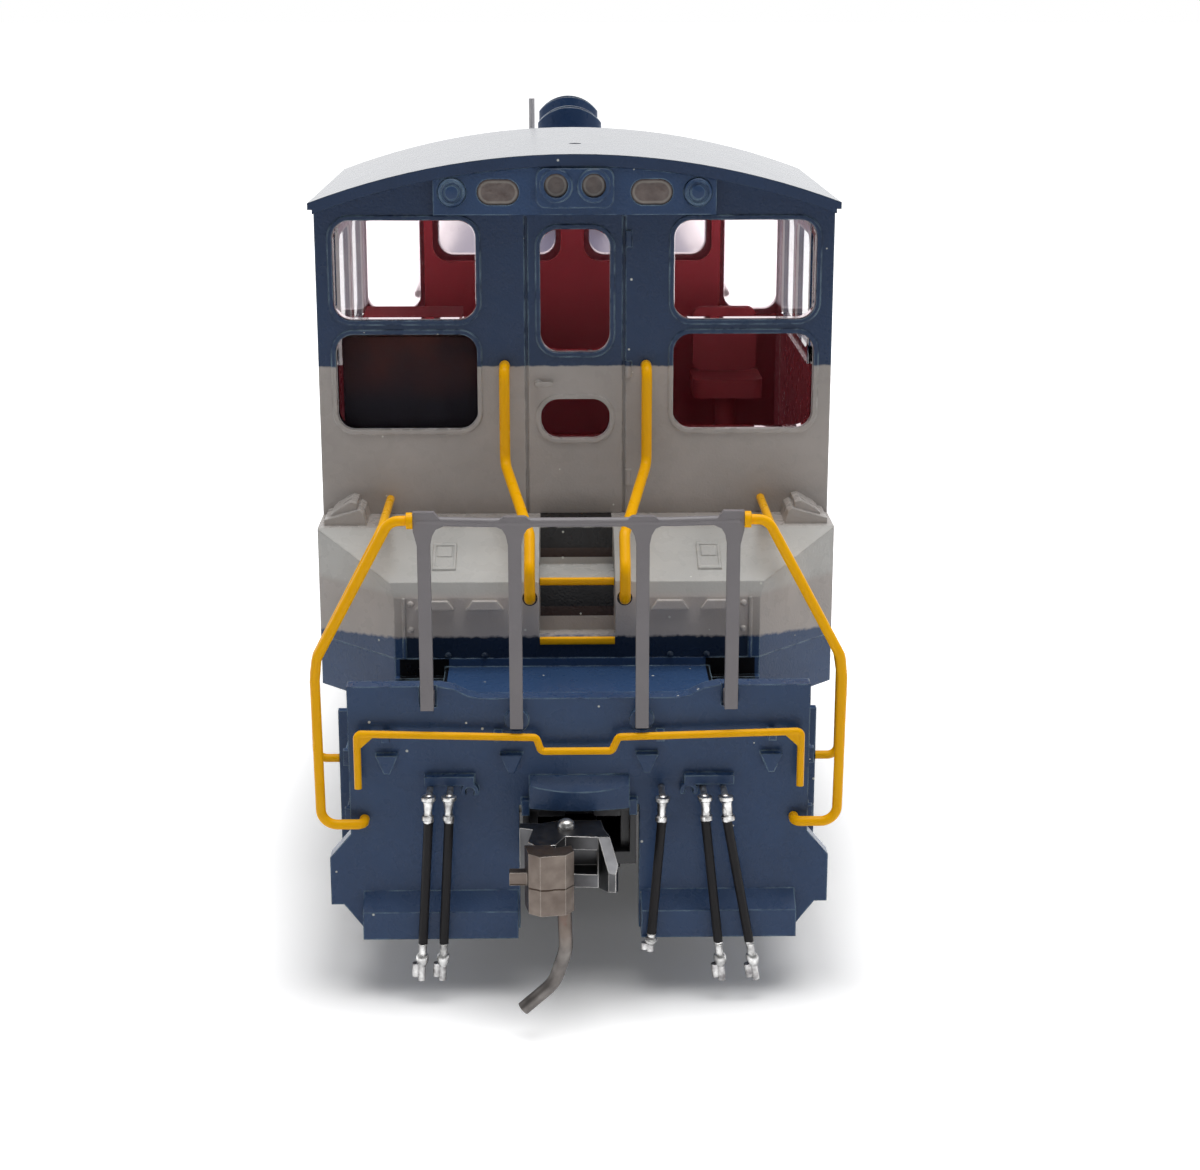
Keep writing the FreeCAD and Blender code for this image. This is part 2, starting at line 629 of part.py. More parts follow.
def meshing_phase(teeth_a, phase_a, place_a, teeth_b, place_b):
    """Phase of gear b that puts its gap opposite a tooth of gear a."""
    towards_b = math.atan2(place_b[1] - place_a[1], place_b[0] - place_a[0])
    offset = (phase_a - towards_b) * teeth_a / teeth_b
    return towards_b + math.pi - offset + math.pi / teeth_b


def worm_thread():
    """Single-start worm about the Y axis: one cam outline, turned a step further in each slice."""
    around = 12
    step = math.pi * MODULE / around
    tip = WORM_PITCH_RADIUS + 0.8 * MODULE
    root = WORM_PITCH_RADIUS - 1.2 * MODULE
    flank = (tip + root) / 2
    cam = [tip, tip, flank] + [root] * 7 + [flank, tip]
    slices = WORM_TURNS * around

    def corner(k, j):
        angle = 2 * math.pi * k / around
        radius = root if j in (0, slices) else cam[(k - j) % around]
        return Vector(radius * math.sin(angle), j * step - WORM_HALF, radius * math.cos(angle))

    faces = []
    for j in range(slices):
        for k in range(around):
            a, b, c, d = corner(k, j), corner(k + 1, j), corner(k + 1, j + 1), corner(k, j + 1)
            for triangle in ((a, b, c), (a, c, d)):
                faces.append(Part.Face(Part.makePolygon(list(triangle) + [triangle[0]])))
    for j in (0, slices):
        rim = [corner(k, j) for k in range(around)]
        faces.append(Part.Face(Part.makePolygon(rim + rim[:1])))
    thread = Part.Solid(Part.Shell(faces))
    if thread.Volume < 0:
        thread.reverse()
    return thread


def worm():
    """Worm, its two journals and the socket of the universal joint, on the motor side."""
    journal = TOWER_HALF_Y + 0.2 - WORM_HALF
    pieces = [worm_thread(),
              cylinder(WORM_SHAFT_RADIUS, (0, WORM_HALF, 0), Y_AXIS, journal),
              cylinder(WORM_SHAFT_RADIUS, (0, -WORM_HALF - journal, 0), Y_AXIS, journal)]
    cup = ring(CUP_RADIUS, CUP_BORE, (0, -CUP_START - CUP_FLOOR - CUP_DEPTH, 0), Y_AXIS, CUP_DEPTH)
    cup = cup.cut(box(-CUP_RADIUS, CUP_RADIUS, -CUP_START - CUP_FLOOR - CUP_DEPTH,
                      -CUP_START - CUP_FLOOR, -FORK_SLOT, FORK_SLOT))
    pieces.append(cup)
    pieces.append(cylinder(CUP_RADIUS, (0, -CUP_START - CUP_FLOOR, 0), Y_AXIS, CUP_FLOOR))
    return moved(fused(pieces), y=TRUCK_Y, z=SHAFT_Z)


def train_phases(side):
    """Phases of the idler and the axle gear at the outer (1) or inner (-1) end of a truck."""
    idler_at = (side * IDLER_Y, IDLER_Z)
    axle_at = (side * WHEELBASE / 2, AXLE_Z)
    idler = meshing_phase(WORM_GEAR_TEETH, WORM_GEAR_PHASE, WORM_GEAR_PLACE, IDLER_TEETH, idler_at)
    return idler, meshing_phase(IDLER_TEETH, idler, idler_at, AXLE_GEAR_TEETH, axle_at)


def worm_gear():
    gear = spur_gear(WORM_GEAR_TEETH, 0, WORM_GEAR_Z, WORM_GEAR_PHASE, GEAR_PIN_RADIUS + RUNNING_GAP)
    return moved(gear, y=TRUCK_Y)


def idler(side):
    phase = train_phases(side)[0]
    gear = spur_gear(IDLER_TEETH, side * IDLER_Y, IDLER_Z, phase, GEAR_PIN_RADIUS + RUNNING_GAP)
    return moved(gear, y=TRUCK_Y)


JOURNAL_RADIUS = 0.7
AXLE_SHOULDER = WHEEL_REACH + 0.4
AXLE_END = 11.9


def axle(side):
    """Axle with its gear in the middle and a journal at each end."""
    y = side * WHEELBASE / 2
    gear = spur_gear(AXLE_GEAR_TEETH, y, AXLE_Z, train_phases(side)[1], 0)
    shaft = cylinder(AXLE_RADIUS, (-AXLE_SHOULDER, y, AXLE_Z), X_AXIS, 2 * AXLE_SHOULDER)
    journals = cylinder(JOURNAL_RADIUS, (-AXLE_END, y, AXLE_Z), X_AXIS, 2 * AXLE_END)
    return moved(fused([gear, shaft, journals]), y=TRUCK_Y)


def wheels(side):
    """Pair of turned wheels: flange, coned tread, dished face and hub."""
    back = BACK_TO_BACK / 2
    face = WHEEL_REACH
    flange = TREAD_RADIUS + FLANGE_DEPTH
    flange_width = 0.8
    rim = 0.75
    dish = 0.6
    hub = AXLE_RADIUS + 0.9
    section = [(back, AXLE_RADIUS), (back, flange - 0.25), (back + 0.22, flange),
               (back + 0.42, flange), (back + flange_width, TREAD_RADIUS),
               (face, TREAD_RADIUS - 0.08), (face, TREAD_RADIUS - rim),
               (face - dish, TREAD_RADIUS - rim - 0.25), (face - dish, hub + 0.25),
               (face, hub), (face, AXLE_RADIUS)]
    profile = polygon([(x, 0, r) for x, r in section])
    wheel = profile.revolve(Vector(0, 0, 0), X_AXIS, 360)
    pair = [wheel, mirrored(wheel)]
    return [moved(w, y=TRUCK_Y + side * WHEELBASE / 2, z=AXLE_Z) for w in pair]


# ---------------------------------------------------------------- trucks
GEARBOX_HALF = 3.0
GEAR_ROOM_HALF = GEAR_FACE / 2 + 0.2
GEAR_ROOM = 0.25
GEARBOX_END = WHEELBASE / 2 + 3.9
GEARBOX_BOTTOM = 2.0
GEARBOX_SHOULDER = 12.4
RUB_PLATE_RADIUS = 8.6
SIDEFRAME_IN = 11.2
SIDEFRAME_OUT = 12.8


def tip_radius(teeth):
    return MODULE * teeth / 2 + 0.84 * MODULE


def gearbox():
    """Gear tower in two halves, with the pivot ring, rub plate, gear rooms and fixed pins."""
    end, low = GEARBOX_END, GEARBOX_BOTTOM
    outline = [(-end + 1.5, low), (end - 1.5, low), (end, low + 1.3), (end, 8.6),
               (12.6, GEARBOX_SHOULDER), (-12.6, GEARBOX_SHOULDER), (-end, 8.6), (-end, low + 1.3)]
    top = FRAME_BOTTOM - RUNNING_GAP
    body = fused([prism_x(outline, -GEARBOX_HALF, GEARBOX_HALF),
                  cylinder(RUB_PLATE_RADIUS, (0, 0, GEARBOX_SHOULDER), Z_AXIS, top - GEARBOX_SHOULDER),
                  cylinder(PIVOT_RADIUS, (0, 0, top), Z_AXIS, PIVOT_RING_TOP - top),
                  box(-TOWER_HALF_X, TOWER_HALF_X, -TOWER_HALF_Y, TOWER_HALF_Y, top, SHAFT_Z)])
    worm_room = WORM_PITCH_RADIUS + 0.8 * MODULE + GEAR_ROOM
    rooms = [cylinder(worm_room, (0, -WORM_HALF - GEAR_ROOM, SHAFT_Z), Y_AXIS, 2 * (WORM_HALF + GEAR_ROOM)),
             cylinder(WORM_SHAFT_RADIUS + RUNNING_GAP, (0, -TOWER_HALF_Y, SHAFT_Z), Y_AXIS, 2 * TOWER_HALF_Y)]
    pins = []
    room_width = 2 * GEAR_ROOM_HALF
    for teeth, y, z in ((WORM_GEAR_TEETH, 0, WORM_GEAR_Z), (IDLER_TEETH, IDLER_Y, IDLER_Z),
                        (IDLER_TEETH, -IDLER_Y, IDLER_Z)):
        rooms.append(cylinder(tip_radius(teeth) + GEAR_ROOM, (-GEAR_ROOM_HALF, y, z), X_AXIS, room_width))
        pins.append(cylinder(GEAR_PIN_RADIUS, (-GEAR_ROOM_HALF, y, z), X_AXIS, room_width))
    for y in (WHEELBASE / 2, -WHEELBASE / 2):
        rooms.append(cylinder(tip_radius(AXLE_GEAR_TEETH) + GEAR_ROOM, (-GEAR_ROOM_HALF, y, AXLE_Z),
                              X_AXIS, room_width))
        rooms.append(cylinder(AXLE_RADIUS + RUNNING_GAP, (-GEARBOX_HALF, y, AXLE_Z), X_AXIS,
                              2 * GEARBOX_HALF))
    for room in rooms:
        body = body.cut(room)
    body = fused([body] + pins)
    reach = 2 * GEARBOX_END
    right = body.common(box(0, reach, -reach, reach, 0, 40))
    left = body.common(box(-reach, 0, -reach, reach, 0, 40))
    return [moved(right, y=TRUCK_Y), moved(left, y=TRUCK_Y)]


def worm_cover():
    """Cap over the worm, with two lips that hold the truck up to the frame."""
    top = SHAFT_Z + WORM_PITCH_RADIUS + 0.8 * MODULE + GEAR_ROOM + 0.6
    cap = box(-TOWER_HALF_X, TOWER_HALF_X, -TOWER_HALF_Y, TOWER_HALF_Y, SHAFT_Z, top)
    lip_bottom = FRAME_TOP + RUNNING_GAP
    lips = cylinder(PIVOT_RADIUS + 0.8, (0, 0, lip_bottom), Z_AXIS, 0.8)
    lips = lips.cut(box(-TOWER_HALF_X, TOWER_HALF_X, -20, 20, 0, 40))
    lips = lips.common(box(-20, 20, -TOWER_HALF_Y, TOWER_HALF_Y, 0, 40))
    worm_room = WORM_PITCH_RADIUS + 0.8 * MODULE + GEAR_ROOM
    cover = fused([cap, lips])
    cover = cover.cut(cylinder(worm_room, (0, -WORM_HALF - GEAR_ROOM, SHAFT_Z), Y_AXIS,
                               2 * (WORM_HALF + GEAR_ROOM)))
    cover = cover.cut(cylinder(WORM_SHAFT_RADIUS + RUNNING_GAP, (0, -TOWER_HALF_Y, SHAFT_Z), Y_AXIS,
                               2 * TOWER_HALF_Y))
    return moved(cover, y=TRUCK_Y)


def sideframe():
    """Right-hand truck side: curved frame, pedestals, leaf springs, journal boxes, cylinders."""
    half = [(6.4, 4.7), (8.0, 6.6), (10.0, 8.4), (12.9, 8.7), (13.3, 4.5), (18.2, 4.5),
            (18.5, 8.9), (20.5, 9.7), (20.5, 12.0), (19.6, 12.8), (11.6, 12.8), (9.8, 11.6)]
    outline = half + [(-y, z) for y, z in reversed(half)]
    plate = prism_x(outline, SIDEFRAME_IN, SIDEFRAME_OUT)
    pieces = [plate.cut(rounded_block(SIDEFRAME_IN, SIDEFRAME_OUT, -5.6, 5.6, 6.0, 10.3, X_AXIS, 0.8))]
    leaves = 4
    for leaf in range(leaves):
        reach = 5.7 - 0.9 * leaf
        z = 8.9 - 0.65 * leaf
        pieces.append(box(SIDEFRAME_IN + 0.4, SIDEFRAME_OUT + 0.5, -reach, reach, z, z + 0.5))
    pieces.append(box(SIDEFRAME_IN + 0.3, SIDEFRAME_OUT + 0.8, -0.9, 0.9, 6.0, 10.3))
    arm = 4.5
    pieces.append(box(GEARBOX_HALF, SIDEFRAME_IN, -arm, arm, GEARBOX_SHOULDER - 1.3, GEARBOX_SHOULDER))
    pieces.append(box(SIDEFRAME_IN - 1.0, SIDEFRAME_IN, -arm, arm, 10.4, GEARBOX_SHOULDER))
    journal_out = SIDEFRAME_OUT + 1.0
    for sign in (1, -1):
        y = sign * WHEELBASE / 2
        pieces.append(rounded_block(SIDEFRAME_OUT, journal_out, y - 1.9, y + 1.9, 4.9, 8.7, X_AXIS, 0.5))
        pieces.append(cylinder(1.3, (journal_out, y, AXLE_Z), X_AXIS, 0.4))
        hanger = sign * 8.3
        pieces.append(box(SIDEFRAME_OUT, SIDEFRAME_OUT + 0.6, hanger - 0.5, hanger + 0.5, 7.4, 11.8))
        start = sorted([sign * 9.4, sign * 13.4])[0]
        pieces.append(cylinder(1.0, (SIDEFRAME_OUT + 0.7, start, 11.6), Y_AXIS, 4.0))
        for step in (-1, 1):
            spring = y + step * 3.2
            pieces.append(cylinder(0.7, (SIDEFRAME_OUT + 0.1, spring, 9.2), Z_AXIS, 2.2))
    frame = fused(pieces)
    for y in (WHEELBASE / 2, -WHEELBASE / 2):
        frame = frame.cut(cylinder(JOURNAL_RADIUS + RUNNING_GAP, (SIDEFRAME_IN, y, AXLE_Z), X_AXIS, 0.8))
    return frame


def sideframes():
    right = sideframe()
    return [moved(right, y=TRUCK_Y), moved(mirrored(right), y=TRUCK_Y)]


# ---------------------------------------------------------------- couplers
COUPLER_PIVOT_Y = REAR_FACE + COUPLER_PIVOT_SETBACK
MOUTH_HALF = PILOT_NOTCH_HALF - 0.2
MOUTH_WALL = 0.4
SHANK_HALF = 1.1
SHANK_HALF_HEIGHT = 0.85
COUPLER_POST_RADIUS = 0.9
POCKET_GAP = 0.25
KNUCKLE_X = -2.3
KNUCKLE_Y = REAR_FACE - 5.2
KNUCKLE_PIN_RADIUS = 0.4
LUG_HALF_HEIGHT = 1.65
HUB_HALF_HEIGHT = 1.0
KNUCKLE_HALF_HEIGHT = 1.9
TRIP_PIN_RADIUS = 0.42


def coupler_pocket():
    """Rear draft-gear box: closed top and sides, open mouth, with the post the coupler turns on."""
    front, back = REAR_FACE - MOUTH_OUT, REAR_FACE + POCKET_LENGTH
    body = box(-POCKET_HALF_X, POCKET_HALF_X, PILOT_BACK, back, POCKET_BOTTOM, POCKET_TOP)
    mouth = box(-MOUTH_HALF, MOUTH_HALF, front, PILOT_BACK, POCKET_BOTTOM, POCKET_TOP)
    low = COUPLER_Z - SHANK_HALF_HEIGHT - POCKET_GAP
    high = COUPLER_Z + SHANK_HALF_HEIGHT + POCKET_GAP
    room = box(-POCKET_HALF_X + 0.8, POCKET_HALF_X - 0.8, front, back - 0.8, low, high)
    bell_mouth = box(-MOUTH_HALF + MOUTH_WALL, MOUTH_HALF - MOUTH_WALL, front, front + 0.9,
                     low, POCKET_TOP - 0.25)
    ribs = both_sides(0.9, 2.6, front + 0.5, front + 0.9, high, POCKET_TOP - 0.25)
    post = cylinder(COUPLER_POST_RADIUS, (0, COUPLER_PIVOT_Y, POCKET_BOTTOM), Z_AXIS,
                    POCKET_TOP - POCKET_BOTTOM)
    return fused([fused([body, mouth]).cut(room).cut(bell_mouth), post] + ribs)


def head_outline(points):
    """Plan points given as (x, distance in front of the pilot)."""
    return [(x, REAR_FACE - out) for x, out in points]


def coupler():
    """Rear coupler: shank with its eye, hollow head, tapered guard arm and the two knuckle lugs."""
    low, high = COUPLER_Z - SHANK_HALF_HEIGHT, COUPLER_Z + SHANK_HALF_HEIGHT
    head_low, head_high = COUPLER_Z - LUG_HALF_HEIGHT, COUPLER_Z + LUG_HALF_HEIGHT
    shank = box(-SHANK_HALF, SHANK_HALF, REAR_FACE - 2.6, COUPLER_PIVOT_Y, low, high)
    eye = cylinder(COUPLER_POST_RADIUS + 0.75, (0, COUPLER_PIVOT_Y, low), Z_AXIS, high - low)
    head = prism_z(head_outline([(-1.3, 1.9), (1.3, 1.9), (1.45, 3.3), (1.15, 4.7), (-0.9, 4.5),
                                 (-1.2, 3.6), (-2.9, 3.4), (-3.7, 3.1), (-3.7, 2.3), (-2.4, 2.4)]),
                   head_low, head_high)
    guard = prism_z(head_outline([(0.9, 3.6), (1.45, 3.3), (2.25, 6.5), (2.1, 7.1), (1.65, 7.0), (1.1, 4.7)]),
                    head_low, head_high)
    tip = REAR_FACE - 7.2
    for z, taper in ((head_low, 0.75), (head_high, -1.5)):
        guard = guard.cut(prism_x([(REAR_FACE - 4.7, z), (tip, z + taper), (tip, z)], 0, 3))
    throat_half_height = LUG_HALF_HEIGHT - 0.85
    throat = box(-0.7, 1.05, REAR_FACE - 5.2, REAR_FACE - 3.1, COUPLER_Z - throat_half_height,
                 COUPLER_Z + throat_half_height)
    pieces = [shank, eye, fused([head, guard]).cut(throat)]
    lug_height = LUG_HALF_HEIGHT - HUB_HALF_HEIGHT - RUNNING_GAP
    lug_plan = head_outline([(-2.9, 3.4), (-1.2, 3.6), (-0.9, 4.5), (-1.5, 5.9), (-2.6, 6.1), (-3.15, 5.4)])
    for z in (head_low, head_high - lug_height):
        pieces.append(prism_z(lug_plan, z, z + lug_height))
    pieces.append(cylinder(KNUCKLE_PIN_RADIUS, (KNUCKLE_X, KNUCKLE_Y, head_low), Z_AXIS, 2 * LUG_HALF_HEIGHT))
    pieces.append(cylinder(0.4, (-0.85, REAR_FACE - 3.0, head_high), Z_AXIS, 0.35))
    return fused(pieces).cut(cylinder(COUPLER_POST_RADIUS + RUNNING_GAP, (0, COUPLER_PIVOT_Y, low), Z_AXIS,
                                      high - low))


def knuckle():
    """Rear knuckle: hub between the lugs, curved finger and the trip pin hanging from it."""
    hub = cylinder(0.85, (KNUCKLE_X, KNUCKLE_Y, COUPLER_Z - HUB_HALF_HEIGHT), Z_AXIS, 2 * HUB_HALF_HEIGHT)
    neck = prism_z(head_outline([(-3.0, 5.4), (-1.6, 5.4), (-1.9, 6.8), (-3.3, 6.8)]),
                   COUPLER_Z - HUB_HALF_HEIGHT, COUPLER_Z + HUB_HALF_HEIGHT)
    finger = prism_z(head_outline([(-3.35, 6.5), (-1.8, 6.5), (-1.55, 6.95), (-0.55, 6.6), (-0.4, 7.5),
                                   (-0.9, 8.15), (-2.4, COUPLER_REACH), (-3.1, 7.9)]),
                     COUPLER_Z - KNUCKLE_HALF_HEIGHT, COUPLER_Z + KNUCKLE_HALF_HEIGHT)
    spring_lug = box(-4.25, -3.0, REAR_FACE - 7.4, REAR_FACE - 6.7, COUPLER_Z - 0.3, COUPLER_Z + 0.5)
    foot = COUPLER_Z - KNUCKLE_HALF_HEIGHT
    y = REAR_FACE - 7.3
    pin = rod([(-1.0, y, foot + 0.4), (-0.9, y, 6.0), (-1.6, y, 3.8), (-3.5, y, 2.1)], TRIP_PIN_RADIUS, 2.4)
    body = fused([hub, neck, finger, spring_lug, pin])
    return body.cut(cylinder(KNUCKLE_PIN_RADIUS + RUNNING_GAP, (KNUCKLE_X, KNUCKLE_Y, 0), Z_AXIS, 20.0))


# ---------------------------------------------------------------- cab
BASE_SLOPE_TOP = BASE_FRONT + 5.5
BASE_SLOPE_FOOT_Z = 24.1
BASE_KNUCKLE_Z = 23.1
BASE_WALL = 1.0
STAIR_HALF = 2.5
STAIR_LOWER_Z = 20.35
STAIR_UPPER_Z = 23.9
STAIR_UPPER_Y = BASE_FRONT + 1.8
BASE_SLOPE_FOOT_Y = BASE_FRONT + 0.3
SEAM_X = BASE_FLAT_HALF - 0.55
VENT_IN_X = 6.05
VENT_OUT_X = 9.3
VENT_Z = 22.35
VENT_OUT = 0.35
LATCH_X = 8.75
LATCH_HALF = 0.77
LATCH_PROUD = 0.14
FITTING_OUT_X = BODY_HALF - 0.4
FITTING_WIDTH = 2.85


def base_profile(inset):
    """Side outline of the cab base: upright end, softened bend, slope and flat top."""
    return [(BASE_FRONT + inset, DECK_Z), (BASE_FRONT + inset, BASE_KNUCKLE_Z),
            (BASE_SLOPE_FOOT_Y + inset, BASE_SLOPE_FOOT_Z - inset * 0.8),
            (BASE_SLOPE_TOP + inset * 0.2, CAB_FLOOR_Z - inset),
            (CAB_FRONT - inset, CAB_FLOOR_Z - inset), (CAB_FRONT - inset, DECK_Z)]


def latch(sign):
    """Raised latch plate on the slope: a rim round a plain field, and a small square boss above."""
    length = BASE_SLOPE_TOP - BASE_SLOPE_FOOT_Y
    rise = CAB_FLOOR_Z - BASE_SLOPE_FOOT_Z

    def strip(x0, x1, start, end, proud):
        low, high = BASE_SLOPE_FOOT_Z + rise * start, BASE_SLOPE_FOOT_Z + rise * end
        y0, y1 = BASE_SLOPE_FOOT_Y + length * start, BASE_SLOPE_FOOT_Y + length * end
        x = sorted([sign * x0, sign * x1])
        return prism_x([(y0, low - 0.3), (y0, low + proud), (y1, high + proud), (y1, high - 0.3)], x[0], x[1])

    low_end, high_end, rim, reach = 0.2, 0.68, 0.16, 0.05
    x0, x1 = LATCH_X - LATCH_HALF, LATCH_X + LATCH_HALF
    boss_half = LATCH_HALF - 0.28
    return [strip(x0, x1, low_end, high_end, LATCH_PROUD * 0.5),
            strip(x0, x0 + rim, low_end, high_end, LATCH_PROUD),
            strip(x1 - rim, x1, low_end, high_end, LATCH_PROUD),
            strip(x0, x1, low_end, low_end + reach, LATCH_PROUD),
            strip(x0, x1, high_end - reach, high_end, LATCH_PROUD),
            strip(LATCH_X - boss_half, LATCH_X + boss_half, 0.43, 0.61, LATCH_PROUD)]


def corner_fitting(sign):
    """Fitting on the ledge beside the cab: a wedge that falls outward, with a hooded lamp on it."""
    inner, outer = FITTING_OUT_X - FITTING_WIDTH, FITTING_OUT_X
    wedge = [(inner, CAB_FLOOR_Z), (outer, CAB_FLOOR_Z), (outer, CAB_FLOOR_Z + 0.4),
             (inner + 0.5, CAB_FLOOR_Z + 1.05), (inner + 0.2, CAB_FLOOR_Z + 0.85)]
    lamp = [(inner + 0.6, CAB_FLOOR_Z), (outer - 0.5, CAB_FLOOR_Z), (outer - 0.4, CAB_FLOOR_Z + 0.65),
            (outer - 0.7, CAB_FLOOR_Z + 0.9), (inner + 1.1, CAB_FLOOR_Z + 1.5),
            (inner + 0.7, CAB_FLOOR_Z + 1.4)]
    front = BASE_SLOPE_TOP + 0.6
    pieces = [prism_y(wedge, front, CAB_REAR), prism_y(lamp, front + 0.5, CAB_REAR)]
    return [piece if sign > 0 else mirrored(piece) for piece in pieces]


def cab_base():
    """Raised base of the cab, with the stair up to the door, vents, latches and corner fittings."""
    outer = prism_x(base_profile(0), -BODY_HALF, BODY_HALF).common(
        prism_z(base_outline(), DECK_Z, CAB_FLOOR_Z))
    inner = prism_x(base_profile(BASE_WALL), -BODY_HALF, BODY_HALF).common(
        prism_z(base_outline(BASE_WALL), DECK_Z, CAB_FLOOR_Z))
    shell = outer.cut(inner)
    wall = 0.7
    well_rear = BASE_FRONT
    well_back = BASE_SLOPE_TOP
    block = box(-STAIR_HALF - wall, STAIR_HALF + wall, well_rear, well_back + wall, DECK_Z, CAB_FLOOR_Z)
    stair_block = block.common(outer)
    stair = prism_x([(well_rear, STAIR_LOWER_Z), (STAIR_UPPER_Y, STAIR_LOWER_Z),
                     (STAIR_UPPER_Y, STAIR_UPPER_Z), (well_back, STAIR_UPPER_Z),
                     (well_back, CAB_FLOOR_Z + 1), (well_rear, CAB_FLOOR_Z + 1)], -STAIR_HALF, STAIR_HALF)
    pieces = [fused([shell, stair_block]).cut(stair)]
    seam_width, seam_proud = 0.2, 0.12
    pieces += both_sides(SEAM_X - seam_width, SEAM_X, BASE_FRONT - seam_proud, BASE_FRONT,
                         DECK_Z, BASE_KNUCKLE_Z)
    for sign in (1, -1):
        for x in (sign * VENT_IN_X, sign * VENT_OUT_X):
            vent = [(x - 1.25, VENT_Z), (x + 1.25, VENT_Z), (x + 0.8, VENT_Z + 0.6), (x - 0.8, VENT_Z + 0.6)]
            pieces.append(prism_y(vent, BASE_FRONT - VENT_OUT, BASE_FRONT))
        pieces += latch(sign) + corner_fitting(sign)
    return fused(pieces)


WINDOW_RADIUS = 1.2
REAR_UPPER = (6.65, 16.25, 39.9, 46.6)
REAR_LOWER = (6.65, 16.2, 32.4, 38.95)
DOOR_WINDOW = (-2.35, 2.35, 37.7, 46.0)
DOOR_PORT = (-2.35, 2.35, 31.75, 34.5)
FRONT_INNER = (1.3, 10.4, 41.4, 45.4)
FRONT_OUTER = (11.85, 16.1, 37.1, 45.4)
SIDE_WINDOWS = ((CAB_REAR + 3.0, CAB_REAR + 11.6), (CAB_REAR + 12.9, CAB_REAR + 21.5))
SIDE_WINDOW_Z = (37.3, 45.3)
GLASS_CLEARANCE = 0.04
GLASS_FLANGE = 0.5
GLASS_RECESS = 0.2
GLASS_MARGIN = 0.3
BEAD_WIDTH = 0.3
BEAD_PROUD = 0.1
DOOR_HALF = 3.3
DOOR_TOP = 46.85
HINGE_PLACES = (28.5, 36.0, 44.8)
HANDLE_Z = 35.6


def both_frames(frame):
    x0, x1, z0, z1 = frame
    return [frame, (-x1, -x0, z0, z1)]


def end_openings(rear):
    if rear:
        return both_frames(REAR_UPPER) + both_frames(REAR_LOWER) + [DOOR_WINDOW, DOOR_PORT]
    return both_frames(FRONT_INNER) + both_frames(FRONT_OUTER)


def cab_section(half, arc_radius, y0, y1, bottom=CAB_FLOOR_Z):
    """Solid of the cab's end outline: upright sides under the curve of the roof."""
    block = box(-half, half, y0, y1, bottom, ROOF_CROWN + 5)
    return block.common(cylinder(arc_radius, (0, y0, ROOF_CENTRE_Z), Y_AXIS, y1 - y0))


def bead(x0, x1, y0, y1, z0, z1, direction):
    """Fine raised bead round an opening, on the outside of a wall."""
    w = BEAD_WIDTH
    across = (0, w) if direction is X_AXIS else (w, 0)
    rim = rounded_block(x0 - across[0], x1 + across[0], y0 - across[1], y1 + across[1], z0 - w, z1 + w,
                        direction, WINDOW_RADIUS + w)
    return rim.cut(rounded_block(x0, x1, y0, y1, z0, z1, direction, WINDOW_RADIUS))


def cab_shell():
    """Cab walls in one moulding, with every window opening, its bead, and the rear door."""
    arc = ROOF_RADIUS - ROOF_THICKNESS
    outer = cab_section(BODY_HALF, arc, CAB_REAR, CAB_FRONT)
    inner = cab_section(BODY_HALF - CAB_WALL, arc + 2, CAB_REAR + CAB_WALL, CAB_FRONT - CAB_WALL)
    shell = outer.cut(inner)
    beads = []
    for rear, y, face in ((True, CAB_REAR, CAB_REAR - BEAD_PROUD), (False, CAB_FRONT - CAB_WALL, CAB_FRONT)):
        for x0, x1, z0, z1 in end_openings(rear):
            shell = shell.cut(rounded_block(x0, x1, y, y + CAB_WALL, z0, z1, Y_AXIS, WINDOW_RADIUS))
            if (x0, x1, z0, z1) not in both_frames(FRONT_INNER):
                beads.append(bead(x0, x1, face, face + BEAD_PROUD, z0, z1, Y_AXIS))
    z0, z1 = SIDE_WINDOW_Z
    for y0, y1 in SIDE_WINDOWS:
        shell = shell.cut(rounded_block(-BODY_HALF, BODY_HALF, y0, y1, z0, z1, X_AXIS, WINDOW_RADIUS))
        for x in (BODY_HALF, -BODY_HALF - BEAD_PROUD):
            beads.append(bead(x, x + BEAD_PROUD, y0, y1, z0, z1, X_AXIS))
    groove, depth = 0.22, 0.2
    for x in (-DOOR_HALF, DOOR_HALF):
        shell = shell.cut(box(x - groove / 2, x + groove / 2, CAB_REAR, CAB_REAR + depth, CAB_FLOOR_Z,
                              DOOR_TOP))
    hinge = [cylinder(0.22, (DOOR_HALF + 0.3, CAB_REAR, z), Z_AXIS, 1.1) for z in HINGE_PLACES]
    handle = [cylinder(0.22, (-DOOR_HALF + 0.75, CAB_REAR - 0.5, HANDLE_Z), Y_AXIS, 0.5),
              box(-DOOR_HALF + 0.55, -DOOR_HALF + 1.75, CAB_REAR - 0.65, CAB_REAR - 0.45,
                  HANDLE_Z - 0.15, HANDLE_Z + 0.15)]
    return fused([shell] + beads + hinge + handle)


def pane(x0, x1, z0, z1, outside, direction):
    """Window plug in an end wall: fills the opening, a little short of the outside face."""
    c = GLASS_CLEARANCE
    y = sorted([outside + direction * GLASS_RECESS, outside + direction * CAB_WALL])
    return rounded_block(x0 + c, x1 - c, y[0], y[1], z0 + c, z1 - c, Y_AXIS, WINDOW_RADIUS - c)


